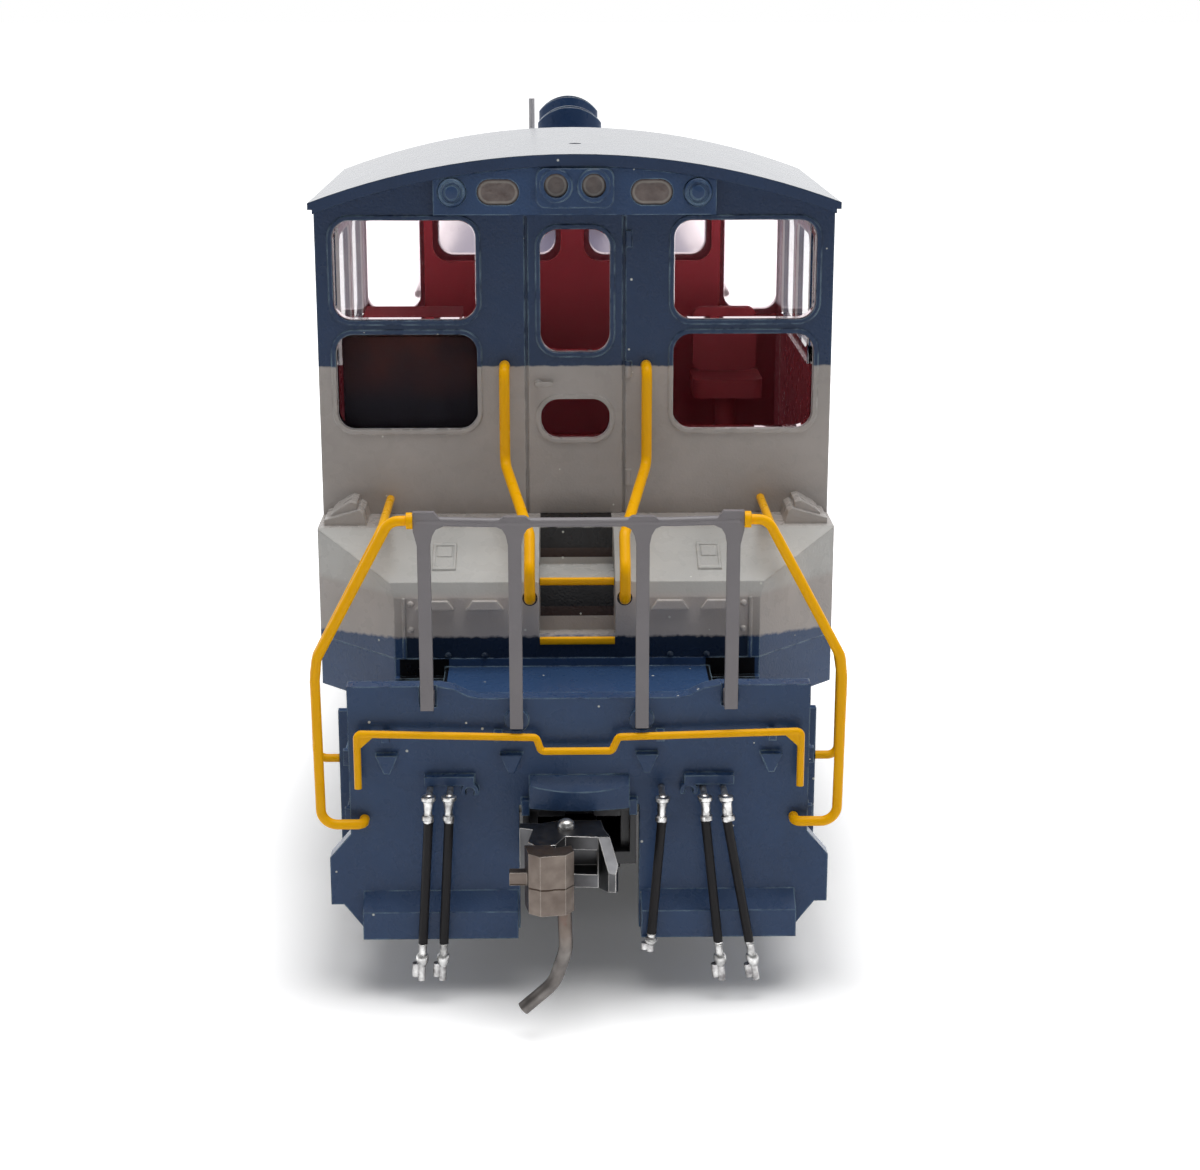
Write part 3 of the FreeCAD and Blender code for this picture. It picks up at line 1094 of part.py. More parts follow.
def cab_windows():
    """Clear glazing: one moulding for each wall, with a plug in every opening."""
    mouldings = []
    for rear, outside, direction in ((True, CAB_REAR, 1), (False, CAB_FRONT, -1)):
        inside = outside + direction * CAB_WALL
        y = sorted([inside, inside + direction * GLASS_FLANGE])
        low = min(z0 for x0, x1, z0, z1 in end_openings(rear)) - GLASS_MARGIN
        high = REAR_UPPER[3] + GLASS_MARGIN
        sheet = box(-BODY_HALF + CAB_WALL, BODY_HALF - CAB_WALL, y[0], y[1], low, high)
        plugs = [pane(x0, x1, z0, z1, outside, direction) for x0, x1, z0, z1 in end_openings(rear)]
        mouldings.append(fused([sheet] + plugs))
    c = GLASS_CLEARANCE
    inside = BODY_HALF - CAB_WALL
    sheet = box(inside - GLASS_FLANGE, inside, CAB_REAR + CAB_WALL + GLASS_FLANGE,
                CAB_FRONT - CAB_WALL - GLASS_FLANGE, SIDE_WINDOW_Z[0] - 0.7, SIDE_WINDOW_Z[1] + 0.7)
    plugs = [rounded_block(inside, BODY_HALF - GLASS_RECESS, y0 + c, y1 - c, SIDE_WINDOW_Z[0] + c,
                           SIDE_WINDOW_Z[1] - c, X_AXIS, WINDOW_RADIUS - c) for y0, y1 in SIDE_WINDOWS]
    side = fused([sheet] + plugs)
    return mouldings + [side, mirrored(side)]


def cab_interior():
    """One-piece interior: floor, front bulkhead with its openings, control stand and two seats."""
    half = BODY_HALF - CAB_WALL - GLASS_FLANGE
    back = CAB_FRONT - CAB_WALL - GLASS_FLANGE
    floor_top = CAB_FLOOR_Z + 1.0
    sheet = 0.6
    pieces = [box(-half, half, CAB_REAR + CAB_WALL, back, CAB_FLOOR_Z, floor_top)]
    bulkhead = box(-half, half, back - sheet, back, CAB_FLOOR_Z, REAR_UPPER[3] + GLASS_MARGIN)
    margin = 0.4
    for x0, x1, z0, z1 in end_openings(False):
        bulkhead = bulkhead.cut(rounded_block(x0 - margin, x1 + margin, back - sheet, back, z0 - margin,
                                              z1 + margin, Y_AXIS, WINDOW_RADIUS))
    pieces.append(bulkhead)
    stand = box(-14.6, -8.4, CAB_REAR + 5.0, CAB_REAR + 11.0, floor_top, 37.6)
    pieces.append(stand)
    desk = prism_x([(CAB_REAR + 4.4, 37.6), (CAB_REAR + 4.4, 38.4), (CAB_REAR + 11.6, 39.2),
                    (CAB_REAR + 11.6, 37.6)], -15.0, -8.0)
    pieces.append(desk)
    for x in (-11.5, 11.5):
        y = CAB_REAR + 16.5
        pieces.append(cylinder(0.8, (x, y, floor_top), Z_AXIS, 4.4))
        pieces.append(rounded_block(x - 2.6, x + 2.6, y - 2.6, y + 2.6, floor_top + 4.4, floor_top + 5.8,
                                    Z_AXIS, 0.7))
        pieces.append(rounded_block(x - 2.4, x + 2.4, y + 1.7, y + 2.6, floor_top + 5.8, floor_top + 10.6,
                                    Y_AXIS, 0.7))
    return fused(pieces)


def cab_roof():
    """Curved roof plate with an open fitting hole near the rear of its crown."""
    half = ROOF_HALF
    y0, y1 = CAB_REAR - ROOF_OVERHANG, CAB_FRONT + ROOF_OVERHANG
    plate = cab_section(half, ROOF_RADIUS, y0, y1, bottom=40.0)
    plate = plate.cut(cylinder(ROOF_RADIUS - ROOF_THICKNESS, (0, y0, ROOF_CENTRE_Z), Y_AXIS, y1 - y0))
    eave_z = ROOF_CENTRE_Z + math.sqrt(ROOF_RADIUS ** 2 - half ** 2) - EAVE_THICKNESS
    for strip in both_sides(BODY_HALF, half, y0, y1, 40.0, eave_z):
        plate = plate.cut(strip)
    return plate.cut(cylinder(0.45, (0.1, CAB_REAR + 8.6, 40.0), Z_AXIS, 20.0))


# ---------------------------------------------------------------- lamps
BOARD_OUT = 0.8
HOUSING_OUT = 1.15
HEADLIGHT_X = 1.25
HEADLIGHT_Z = 48.95
HEADLIGHT_RADIUS = 0.8
NUMBER_X = 5.1
NUMBER_Z = 48.5
NUMBER_HALF = 1.4
NUMBER_RADIUS = 0.85
BLANK_X = 8.15
BOARD_HALF = 9.4
BOARD_BOTTOM = 47.0
HOUSING_HALF = 2.55
HOUSING_BOTTOM = 47.5
HOUSING_TOP = ROOF_CROWN - 0.92
BEZEL = 0.28
BEZEL_PROUD = 0.14
NOSE_LAMP_DROP = HEADLIGHT_Z - (HOOD_TOP - 1.9)


def slot_solid(x, z, half, radius, y0, y1):
    """An oval plug along Y."""
    pieces = [box(x - half + radius, x + half - radius, y0, y1, z - radius, z + radius)]
    for sign in (1, -1):
        pieces.append(cylinder(radius, (x + sign * (half - radius), y0, z), Y_AXIS, y1 - y0))
    return fused(pieces)


def lamp_bezels(housing_face, z, direction):
    """Two flat rings round the headlights of one housing, on its outer face."""
    start = housing_face if direction > 0 else housing_face - BEZEL_PROUD
    return [ring(HEADLIGHT_RADIUS + BEZEL, HEADLIGHT_RADIUS, (x, start, z), Y_AXIS, BEZEL_PROUD)
            for x in (HEADLIGHT_X, -HEADLIGHT_X)]


def cab_light_board():
    """Raised strip over the cab door with the lamp housing, number windows and blank discs."""
    y0, y1 = CAB_REAR - BOARD_OUT, CAB_REAR
    face = CAB_REAR - HOUSING_OUT
    arc = cylinder(ROOF_RADIUS - ROOF_THICKNESS, (0, y0, ROOF_CENTRE_Z), Y_AXIS, BOARD_OUT)
    board = box(-BOARD_HALF, BOARD_HALF, y0, y1, BOARD_BOTTOM, ROOF_CROWN).common(arc)
    housing = rounded_block(-HOUSING_HALF, HOUSING_HALF, face, y0, HOUSING_BOTTOM, HOUSING_TOP, Y_AXIS, 0.6)
    body = fused([board, housing] + lamp_bezels(face, HEADLIGHT_Z, -1))
    disc_radius, groove = 0.75, 0.2
    for sign in (1, -1):
        body = body.cut(cylinder(HEADLIGHT_RADIUS, (sign * HEADLIGHT_X, face, HEADLIGHT_Z), Y_AXIS,
                                 HOUSING_OUT - 0.3))
        body = body.cut(slot_solid(sign * NUMBER_X, NUMBER_Z, NUMBER_HALF, NUMBER_RADIUS, y0, y1 - 0.3))
        moat = ring(disc_radius + groove, disc_radius, (sign * BLANK_X, y0, NUMBER_Z), Y_AXIS, groove)
        body = body.cut(moat)
    return body.removeSplitter()


def nose_light_board():
    """Lamp housing on the hood's nose."""
    z = HEADLIGHT_Z - NOSE_LAMP_DROP
    y1 = NOSE_Y + HOUSING_OUT
    body = fused([rounded_block(-HOUSING_HALF, HOUSING_HALF, NOSE_Y, y1, z - 1.5, z + 1.5, Y_AXIS, 0.6)]
                 + lamp_bezels(y1, z, 1))
    for x in (HEADLIGHT_X, -HEADLIGHT_X):
        body = body.cut(cylinder(HEADLIGHT_RADIUS, (x, NOSE_Y + 0.3, z), Y_AXIS, HOUSING_OUT))
    return body


def light_boards():
    return [cab_light_board(), nose_light_board()]


def lamp_lenses():
    """Clear lenses: twin headlights at each end and the two oval number windows."""
    lenses = []
    nose_z = HEADLIGHT_Z - NOSE_LAMP_DROP
    depth = 0.5
    for sign in (1, -1):
        seat = CAB_REAR - 0.3
        for z, y0 in ((HEADLIGHT_Z, seat - depth), (nose_z, NOSE_Y + 0.3)):
            lenses.append(cylinder(HEADLIGHT_RADIUS, (sign * HEADLIGHT_X, y0, z), Y_AXIS, depth))
        lenses.append(slot_solid(sign * NUMBER_X, NUMBER_Z, NUMBER_HALF, NUMBER_RADIUS,
                                 seat - depth + 0.1, seat))
    return lenses


# ---------------------------------------------------------------- hood
DOOR_COUNT = 9
DOOR_PROUD = 0.18
DOOR_BOTTOM = 21.4
DOOR_HEAD = 36.6
HINGE_PROUD = 0.34
GRILLE_HALF = 8.4
GRILLE_BOTTOM = 22.0
GRILLE_TOP = 36.4
FAN_Y = NOSE_Y - 12.5
FAN_RADIUS = 7.2
FAN_WALL = 0.6
FAN_HEIGHT = 0.9
FAN_HUB = 1.6
STACK_PLACES = (-5.3, 12.2)
STACK_HALF_X = 2.85
STACK_HALF_Y = 1.7
STACK_TOP = 51.2
STACK_FLANGE_Y = 2.9


def hood_section(inset):
    """End outline of the hood, with rounded shoulders."""
    half, top = HOOD_HALF - inset, HOOD_TOP - inset
    block = box(-half, half, 0, 1, DECK_Z, top)
    shoulders = [e for e in block.Edges
                 if abs(e.CenterOfMass.z - top) < 1e-6 and abs(abs(e.CenterOfMass.x) - half) < 1e-6]
    return block.makeFillet(HOOD_SHOULDER - inset, shoulders)


def hood_shell():
    """Engine hood: walls, roof, nose wall with the radiator opening, doors and vents."""
    def length_of(inset, y0, y1):
        end = [f for f in hood_section(inset).Faces if abs(f.CenterOfMass.y) < 1e-6][0]
        face = end.copy()
        face.translate(Vector(0, y0, 0))
        return face.extrude(Vector(0, y1 - y0, 0))
    shell = length_of(0, CAB_FRONT, NOSE_Y).cut(length_of(HOOD_WALL, CAB_FRONT, NOSE_Y - HOOD_WALL))
    shell = shell.cut(box(-GRILLE_HALF, GRILLE_HALF, NOSE_Y - HOOD_WALL, NOSE_Y, GRILLE_BOTTOM, GRILLE_TOP))
    shell = shell.cut(cylinder(FAN_RADIUS - FAN_WALL, (0, FAN_Y, HOOD_TOP - 3), Z_AXIS, 6.0))
    first, last = CAB_FRONT + 1.6, FAN_Y - FAN_RADIUS - 1.0
    pitch = (last - first) / DOOR_COUNT
    pieces = [shell]
    for door in range(DOOR_COUNT):
        y = first + door * pitch
        end = y + pitch - 0.6
        pieces += both_sides(HOOD_HALF, HOOD_HALF + DOOR_PROUD, y, end, DOOR_BOTTOM, DOOR_HEAD)
        for z in (DOOR_BOTTOM + 2.2, DOOR_HEAD - 3.0):
            pieces += both_sides(HOOD_HALF, HOOD_HALF + HINGE_PROUD, y - 0.25, y + 0.25, z, z + 0.9)
        latch_z = (DOOR_BOTTOM + DOOR_HEAD) / 2
        pieces += both_sides(HOOD_HALF, HOOD_HALF + HINGE_PROUD, end - 1.2, end - 0.8, latch_z, latch_z + 1.3)
    louvres = 7
    for louvre in range(louvres):
        z = 23.4 + louvre * 1.7
        wedge = [(HOOD_HALF, z), (HOOD_HALF + 0.3, z), (HOOD_HALF, z + 1.0)]
        right = prism_y(wedge, FAN_Y - 5.6, FAN_Y + 5.6)
        pieces += [right, mirrored(right)]
    return fused(pieces)


def radiator_shutters():
    """Shutter frame in the nose, with a bank of inclined blades and a centre post."""
    blades = 12
    pitch = (GRILLE_TOP - GRILLE_BOTTOM - 1.0) / blades
    y0, y1 = NOSE_Y - HOOD_WALL, NOSE_Y + 0.25
    frame = box(-GRILLE_HALF, GRILLE_HALF, y0, y1, GRILLE_BOTTOM, GRILLE_TOP)
    frame = frame.cut(box(-GRILLE_HALF + 0.6, GRILLE_HALF - 0.6, y0, y1,
                          GRILLE_BOTTOM + 0.5, GRILLE_TOP - 0.5))
    pieces = [frame, box(-0.3, 0.3, y0, y1, GRILLE_BOTTOM, GRILLE_TOP)]
    for blade in range(blades):
        z = GRILLE_BOTTOM + 0.5 + (blade + 0.2) * pitch
        slat = [(y0 + 0.1, z + 0.55), (y0 + 0.1, z + 0.8), (y1 - 0.1, z + 0.25), (y1 - 0.1, z)]
        pieces.append(prism_x(slat, -GRILLE_HALF + 0.6, GRILLE_HALF - 0.6))
    return fused(pieces)


def radiator_fan():
    """Fan shroud on the hood roof with twisted blades under a four-arm guard."""
    z0, z1 = HOOD_TOP, HOOD_TOP + FAN_HEIGHT
    bottom = HOOD_TOP - HOOD_WALL
    inner = FAN_RADIUS - FAN_WALL
    pieces = [ring(FAN_RADIUS + 0.3, inner, (0, FAN_Y, z0), Z_AXIS, FAN_HEIGHT),
              ring(inner, inner - 0.4, (0, FAN_Y, bottom), Z_AXIS, z1 - bottom),
              cylinder(FAN_HUB, (0, FAN_Y, bottom), Z_AXIS, z1 - bottom)]
    blades = 8
    for blade in range(blades):
        arm = prism_x([(-0.9, bottom + 0.1), (-0.6, bottom + 0.1), (0.9, z0 - 0.1), (0.6, z0 - 0.1)],
                      FAN_HUB - 0.3, inner - 0.2)
        arm.rotate(Vector(0, 0, 0), Z_AXIS, 360 * blade / blades)
        pieces.append(moved(arm, y=FAN_Y))
    arms = 4
    for guard in range(arms):
        bar = box(-inner + 0.1, inner - 0.1, -0.2, 0.2, z1 - 0.35, z1)
        bar.rotate(Vector(0, 0, 0), Z_AXIS, 180 * (guard + 0.5) / arms)
        pieces.append(moved(bar, y=FAN_Y))
    return fused(pieces)


def exhaust_stacks():
    """Two flattened stacks that rise from a flange on the hood roof to an arched, open lip."""
    def oval(half_x, half_y, z):
        curve = Part.Ellipse(Vector(0, 0, z), half_x, half_y)
        return Part.Wire(curve.toShape())
    wall = 0.45
    outer = Part.makeLoft([oval(STACK_HALF_X + 0.5, STACK_HALF_Y + 0.5, HOOD_TOP),
                           oval(STACK_HALF_X, STACK_HALF_Y, HOOD_TOP + 1.4),
                           oval(STACK_HALF_X - 0.05, STACK_HALF_Y - 0.15, STACK_TOP)], True, True)
    bore = Part.makeLoft([oval(STACK_HALF_X - wall, STACK_HALF_Y - wall, HOOD_TOP + 2.0),
                          oval(STACK_HALF_X - 0.05 - wall, STACK_HALF_Y - 0.15 - wall, STACK_TOP)],
                         True, True)
    arch_radius, reach = STACK_HALF_X + 0.65, STACK_HALF_Y + 1
    arch_centre = STACK_TOP - arch_radius
    arch = cylinder(arch_radius, (0, -reach, arch_centre), Y_AXIS, 2 * reach)
    above = box(-arch_radius, arch_radius, -reach, reach, arch_centre, STACK_TOP).cut(arch)
    flange = rounded_block(-4.0, 4.0, -STACK_FLANGE_Y, STACK_FLANGE_Y, HOOD_TOP, HOOD_TOP + 0.4, Z_AXIS, 0.8)
    stack = fused([outer.cut(bore).cut(above), flange])
    return [moved(stack, y=y) for y in STACK_PLACES]


def antenna():
    """Thin mast behind the first stack, in a small round foot on the hood roof."""
    foot_radius, top = 0.7, 52.1
    x, y = -3.3, STACK_PLACES[0] - STACK_FLANGE_Y - foot_radius - RUNNING_GAP
    return fused([cylinder(foot_radius, (x, y, HOOD_TOP), Z_AXIS, 0.6),
                  cylinder(0.25, (x, y, HOOD_TOP), Z_AXIS, top - HOOD_TOP)])


def bell():
    """Turned bell under a yoke, on the hood roof ahead of the stacks."""
    y = STACK_PLACES[1] + 9.5
    z = HOOD_TOP + 1.0
    outline = [(0, z), (1.7, z), (1.75, z + 0.25), (1.3, z + 0.9), (1.05, z + 1.9), (0.6, z + 2.4),
               (0, z + 2.5)]
    cup = polygon([(r, 0, h) for r, h in outline]).revolve(Vector(0, 0, 0), Z_AXIS, 360)
    inside = [(0, z), (1.4, z), (0.95, z + 0.9), (0.7, z + 1.7), (0, z + 1.9)]
    cup = cup.cut(polygon([(r, 0, h) for r, h in inside]).revolve(Vector(0, 0, 0), Z_AXIS, 360))
    yoke = [box(-2.3, -1.9, -0.4, 0.4, HOOD_TOP, z + 2.9), box(1.9, 2.3, -0.4, 0.4, HOOD_TOP, z + 2.9),
            box(-2.3, 2.3, -0.4, 0.4, z + 2.4, z + 2.9), box(-2.6, 2.6, -0.8, 0.8, HOOD_TOP, HOOD_TOP + 0.3)]
    return moved(fused([cup] + yoke), y=y)


def horn():
    """Air horn with two flared trumpets on a small pedestal."""
    z = HOOD_TOP + 1.6
    y = STACK_PLACES[1] + 3.9
    pieces = [box(-1.9, 1.9, -0.5, 0.5, z - 0.45, z + 0.45), box(-0.45, 0.45, -0.45, 0.45, HOOD_TOP, z),
              box(-0.9, 0.9, -0.9, 0.9, HOOD_TOP, HOOD_TOP + 0.3)]
    for x, length in ((-1.3, 3.4), (1.3, 2.7)):
        trumpet = [(0, 0.3), (0.32, 0.3), (0.36, length - 0.9), (0.85, length), (0, length)]
        flare = polygon([(r, h, 0) for r, h in trumpet]).revolve(Vector(0, 0, 0), Y_AXIS, 360)
        bore = cylinder(0.55, (0, length - 0.3, 0), Y_AXIS, 0.3)
        pieces.append(moved(flare.cut(bore), x=x, z=z))
    return moved(fused(pieces), y=y)


def circuit_board():
    """Lighting and control board on the four posts of the frame."""
    half = FRAME_HALF - 0.3
    board = box(-half, half, -BOARD_POST_Y - 2.0, BOARD_POST_Y + 2.0, BOARD_POST_TOP, BOARD_POST_TOP + 0.8)
    chips = [box(-3.2, 3.2, y, y + 5.0, BOARD_POST_TOP + 0.8, BOARD_POST_TOP + 2.0)
             for y in (-16.0, -2.0, 11.0)]
    return fused([board] + chips)


# ---------------------------------------------------------------- rails, levers and hoses
RAIL_PROUD = 0.9
RAIL_Y = REAR_FACE - RAIL_PROUD
STANCHION_THICKNESS = 0.5
END_RAIL_Z = 30.9
RAIL_SAG = 0.12
HEAD_HALF = 0.62
SWELL_X = BODY_HALF - 1.3
INNER_RAIL_X = BODY_HALF - 0.1
INNER_RAIL_Y = BASE_FRONT - GRAB_RADIUS - 0.05
INNER_RAIL_TOP_Y = INNER_RAIL_Y + 1.4
INNER_RAIL_TOP_Z = CAB_FLOOR_Z + 1.05
OUTER_RAIL_RADIUS = 0.31
INNER_RAIL_RADIUS = 0.28
LOWER_RAIL_Z = 11.55
LEVER_HALF = PILOT_HALF - 0.65
LEVER_TOP_Z = 17.5
LEVER_END_Z = 13.95
LEVER_RADIUS = 0.23
LEVER_Y = REAR_FACE - 1.0


def post(x, foot, head_top, both):
    """Flat railing post that flares into the rail, on its inner side or on both sides."""
    fillet = [(STANCHION_HALF, END_RAIL_Z - 1.5), (STANCHION_HALF + 0.12, END_RAIL_Z - 0.9),
              (STANCHION_HALF + 0.35, END_RAIL_Z - 0.5), (STANCHION_HALF + 0.8, END_RAIL_Z - 0.3),
              (STANCHION_HALF + 0.8, END_RAIL_Z - 0.1), (HEAD_HALF, head_top)]
    plain = [(STANCHION_HALF, END_RAIL_Z - 1.5), (HEAD_HALF, END_RAIL_Z - 0.6), (HEAD_HALF, head_top)]
    outline = [(x - dx, z) for dx, z in [(STANCHION_HALF, foot)] + fillet]
    outer_side = [(STANCHION_HALF, foot)] + (fillet if both else plain)
    outline += [(x + dx, z) for dx, z in reversed(outer_side)]
    return prism_y(outline, RAIL_Y - STANCHION_THICKNESS / 2, RAIL_Y + STANCHION_THICKNESS / 2)


def end_railing():
    """Rear end railing: four flat posts, their feet on the pilot, under one round rail."""
    back = RAIL_Y + STANCHION_THICKNESS / 2
    outer_peg = both_sides(STANCHION_OUTER_X - STANCHION_HALF, STANCHION_OUTER_X + STANCHION_HALF,
                           back, REAR_FACE + FOOT_SLOT, OUTER_FOOT_Z, OUTER_FOOT_Z + 0.9)
    inner_peg = both_sides(STANCHION_INNER_X - STANCHION_HALF, STANCHION_INNER_X + STANCHION_HALF,
                           back, REAR_FACE - CUP_OUT, INNER_FOOT_Z, INNER_FOOT_Z + 0.8)
    outer = post(STANCHION_OUTER_X, OUTER_FOOT_Z, END_RAIL_Z + 0.55, False)
    inner = post(STANCHION_INNER_X, INNER_FOOT_Z, END_RAIL_Z + 0.25, True)
    reach = STANCHION_OUTER_X + STANCHION_HALF
    low_reach = STANCHION_INNER_X + 1.8
    rail = rod([(-reach, RAIL_Y, END_RAIL_Z), (-low_reach, RAIL_Y, END_RAIL_Z - RAIL_SAG),
                (low_reach, RAIL_Y, END_RAIL_Z - RAIL_SAG), (reach, RAIL_Y, END_RAIL_Z)], RAIL_RADIUS)
    return fused([outer, mirrored(outer), inner, mirrored(inner), rail] + outer_peg + inner_peg)


def corner_rail():
    """Rear right outer rail: from the end railing out over the steps and back to the pilot."""
    start = STANCHION_OUTER_X + HEAD_HALF
    foot_x = PILOT_HALF - 0.9
    path = [(start, RAIL_Y, END_RAIL_Z), (start + 1.4, RAIL_Y, END_RAIL_Z), (SWELL_X - 0.15, RAIL_Y, 22.3),
            (SWELL_X, RAIL_Y, 20.9), (SWELL_X - 0.1, RAIL_Y, LOWER_RAIL_Z), (foot_x, RAIL_Y, LOWER_RAIL_Z),
            (foot_x, REAR_FACE, LOWER_RAIL_Z)]
    collar = cylinder(GRAB_RADIUS + 0.14, (start, RAIL_Y, END_RAIL_Z), X_AXIS, 0.4)
    return fused([rod(path, OUTER_RAIL_RADIUS, 1.0), collar])


def inner_rail(start, top_x):
    """Inner rail from a given start: out over the ledge, down past the base and in to the step sheet."""
    y, foot_z = INNER_RAIL_Y, LOWER_RAIL_Z + 0.7
    path = [start, (top_x, INNER_RAIL_TOP_Y, INNER_RAIL_TOP_Z), (INNER_RAIL_X - 0.2, y, DECK_Z + 0.4),
            (INNER_RAIL_X, y, DECK_Z - 0.8), (INNER_RAIL_X, y, foot_z), (STEP_REACH, y, foot_z)]
    return rod(path, INNER_RAIL_RADIUS, 1.0)


def cab_corner_rail():
    """Rear right inner rail, from the rear wall of the cab."""
    top_x = BASE_FLAT_HALF + 0.75
    return inner_rail((top_x, CAB_REAR, INNER_RAIL_TOP_Z), top_x)


def nose_corner_rail():
    """Front right inner rail, from the side of the hood."""
    return inner_rail((HOOD_HALF, INNER_RAIL_TOP_Y, INNER_RAIL_TOP_Z), HOOD_HALF + 1.3)


def corner_handrails():
    """Outer and inner rail at each of the four corners."""
    outer = corner_rail()
    rails = []
    for rail in (outer, cab_corner_rail()):
        rails += [rail, mirrored(rail)]
    for rail in (outer, nose_corner_rail()):
        rails += [turned(rail), turned(mirrored(rail))]
    return rails


def door_handrails():
    """Two bent rails beside the cab door, from the wall down over the stair to the base."""
    y = CAB_REAR - 1.5
    foot = BASE_FRONT - 1.2
    path = [(4.8, CAB_REAR, 36.8), (4.8, y, 36.8), (4.8, y, 30.3), (3.1, foot + 1.8, 27.2), (3.1, foot, 25.3),
            (3.1, foot, 23.2), (3.1, BASE_FRONT, 23.2)]
    right = rod(path, GRAB_RADIUS, 1.0)
    return [right, mirrored(right)]


def hood_handrails():
    """Long rails on both sides of the hood, each held off by a row of round posts."""
    z = 38.0
    x = HOOD_HALF + 1.3
    y0, y1 = CAB_FRONT + 1.5, NOSE_Y - 1.5
    posts = 7
    rails = []
    for sign in (1, -1):
        pieces = [cylinder(RAIL_RADIUS, (sign * x, y0, z), Y_AXIS, y1 - y0)]
        for post in range(posts):
            y = y0 + 0.5 + post * (y1 - y0 - 1.0) / (posts - 1)
            pieces.append(cylinder(POST_RADIUS, (sign * HOOD_HALF, y, z), Vector(sign, 0, 0), x - HOOD_HALF))
        rails.append(fused(pieces))
    return rails


def cut_lever():
    """Rear uncoupling lever: a long bent wire across the pilot, webbed at its two outer corners."""
    top_z, middle_z, dip_z = LEVER_TOP_Z, LEVER_TOP_Z - 0.3, LEVER_TOP_Z - 1.2
    path = [(-LEVER_HALF, LEVER_Y, LEVER_END_Z), (-LEVER_HALF, LEVER_Y, top_z), (-2.65, LEVER_Y, middle_z),
            (-2.35, LEVER_Y, dip_z), (2.0, LEVER_Y, dip_z), (2.4, LEVER_Y, middle_z),
            (LEVER_HALF, LEVER_Y, top_z), (LEVER_HALF, LEVER_Y, LEVER_END_Z)]
    web = prism_y([(LEVER_HALF, top_z - 1.1), (LEVER_HALF, top_z), (LEVER_HALF - 1.2, top_z)],
                  LEVER_Y - LEVER_RADIUS * 0.7, LEVER_Y + LEVER_RADIUS * 0.7)
    return fused([rod(path, LEVER_RADIUS, 0.3), web, mirrored(web)])


def pilot_with_lever_eyes(lever):
    """The pilot, with the four grooved blocks that the lever lies against."""
    eyes = []
    for x in (-GUSSET_OUT_X, -5.0, 5.0, GUSSET_OUT_X):
        eyes.append(box(x - 0.25, x + 0.25, LEVER_Y, REAR_FACE, LEVER_TOP_Z - 0.6, LEVER_TOP_Z - 0.12))
    return fused([pilot()] + eyes).cut(lever)


HOSE_RADIUS = 0.29
WAIST_RADIUS = 0.2
ELBOW_DROP = 0.8
WAIST_LENGTH = 0.35
FITTING_RADIUS = 0.36
COLLAR_RADIUS = 0.32
COLLAR_LENGTH = 0.42
GLADHAND_RADIUS = 0.24
GLADHAND_BULB = 0.36
HOSE_Y = REAR_FACE - 2.15
HOSES = ((-9.25, 13.7, -9.8, 1.6, 2.5), (-8.0, 13.7, -8.5, 1.6, 2.5), (5.1, 13.55, 4.47, 3.45, 1.2),
         (7.68, 13.6, 8.65, 1.45, 2.5), (8.95, 13.6, 10.6, 1.45, 2.5))


def brake_hoses():
    """Rear hoses: an elbow out of the pilot, a fitting with its collar, the hose and its coupling."""
    hoses = []
    for x_top, z_top, x_low, z_low, coupling in HOSES:
        knee = Vector(x_top, HOSE_Y, z_top - ELBOW_DROP)
        end = Vector(x_low, HOSE_Y, z_low + coupling)
        run = (end - knee).normalize()
        waist = knee + run * WAIST_LENGTH
        path = [(x_top, REAR_FACE, z_top), (x_top, HOSE_Y, z_top), tuple(knee)]
        bulb = end + run * (coupling * 0.4)
        jaw = end + run * (coupling * 0.55) + Vector(run.z, 0, -run.x) * GLADHAND_BULB
        pieces = [rod(path, WAIST_RADIUS, 0.4),
                  Part.makeSphere(FITTING_RADIUS, Vector(x_top, HOSE_Y + 0.1, z_top - 0.1)),
                  Part.makeCylinder(WAIST_RADIUS, WAIST_LENGTH, knee, run),
                  Part.makeCylinder(COLLAR_RADIUS, COLLAR_LENGTH, waist, run),
                  Part.makeCylinder(HOSE_RADIUS, (end - waist).Length, waist, run),
                  Part.makeCylinder(GLADHAND_RADIUS, coupling, end, run),
                  Part.makeSphere(GLADHAND_BULB, bulb),
                  Part.makeCylinder(GLADHAND_RADIUS, coupling * 0.35, jaw, run)]
        hoses.append(fused(pieces))
    return hoses


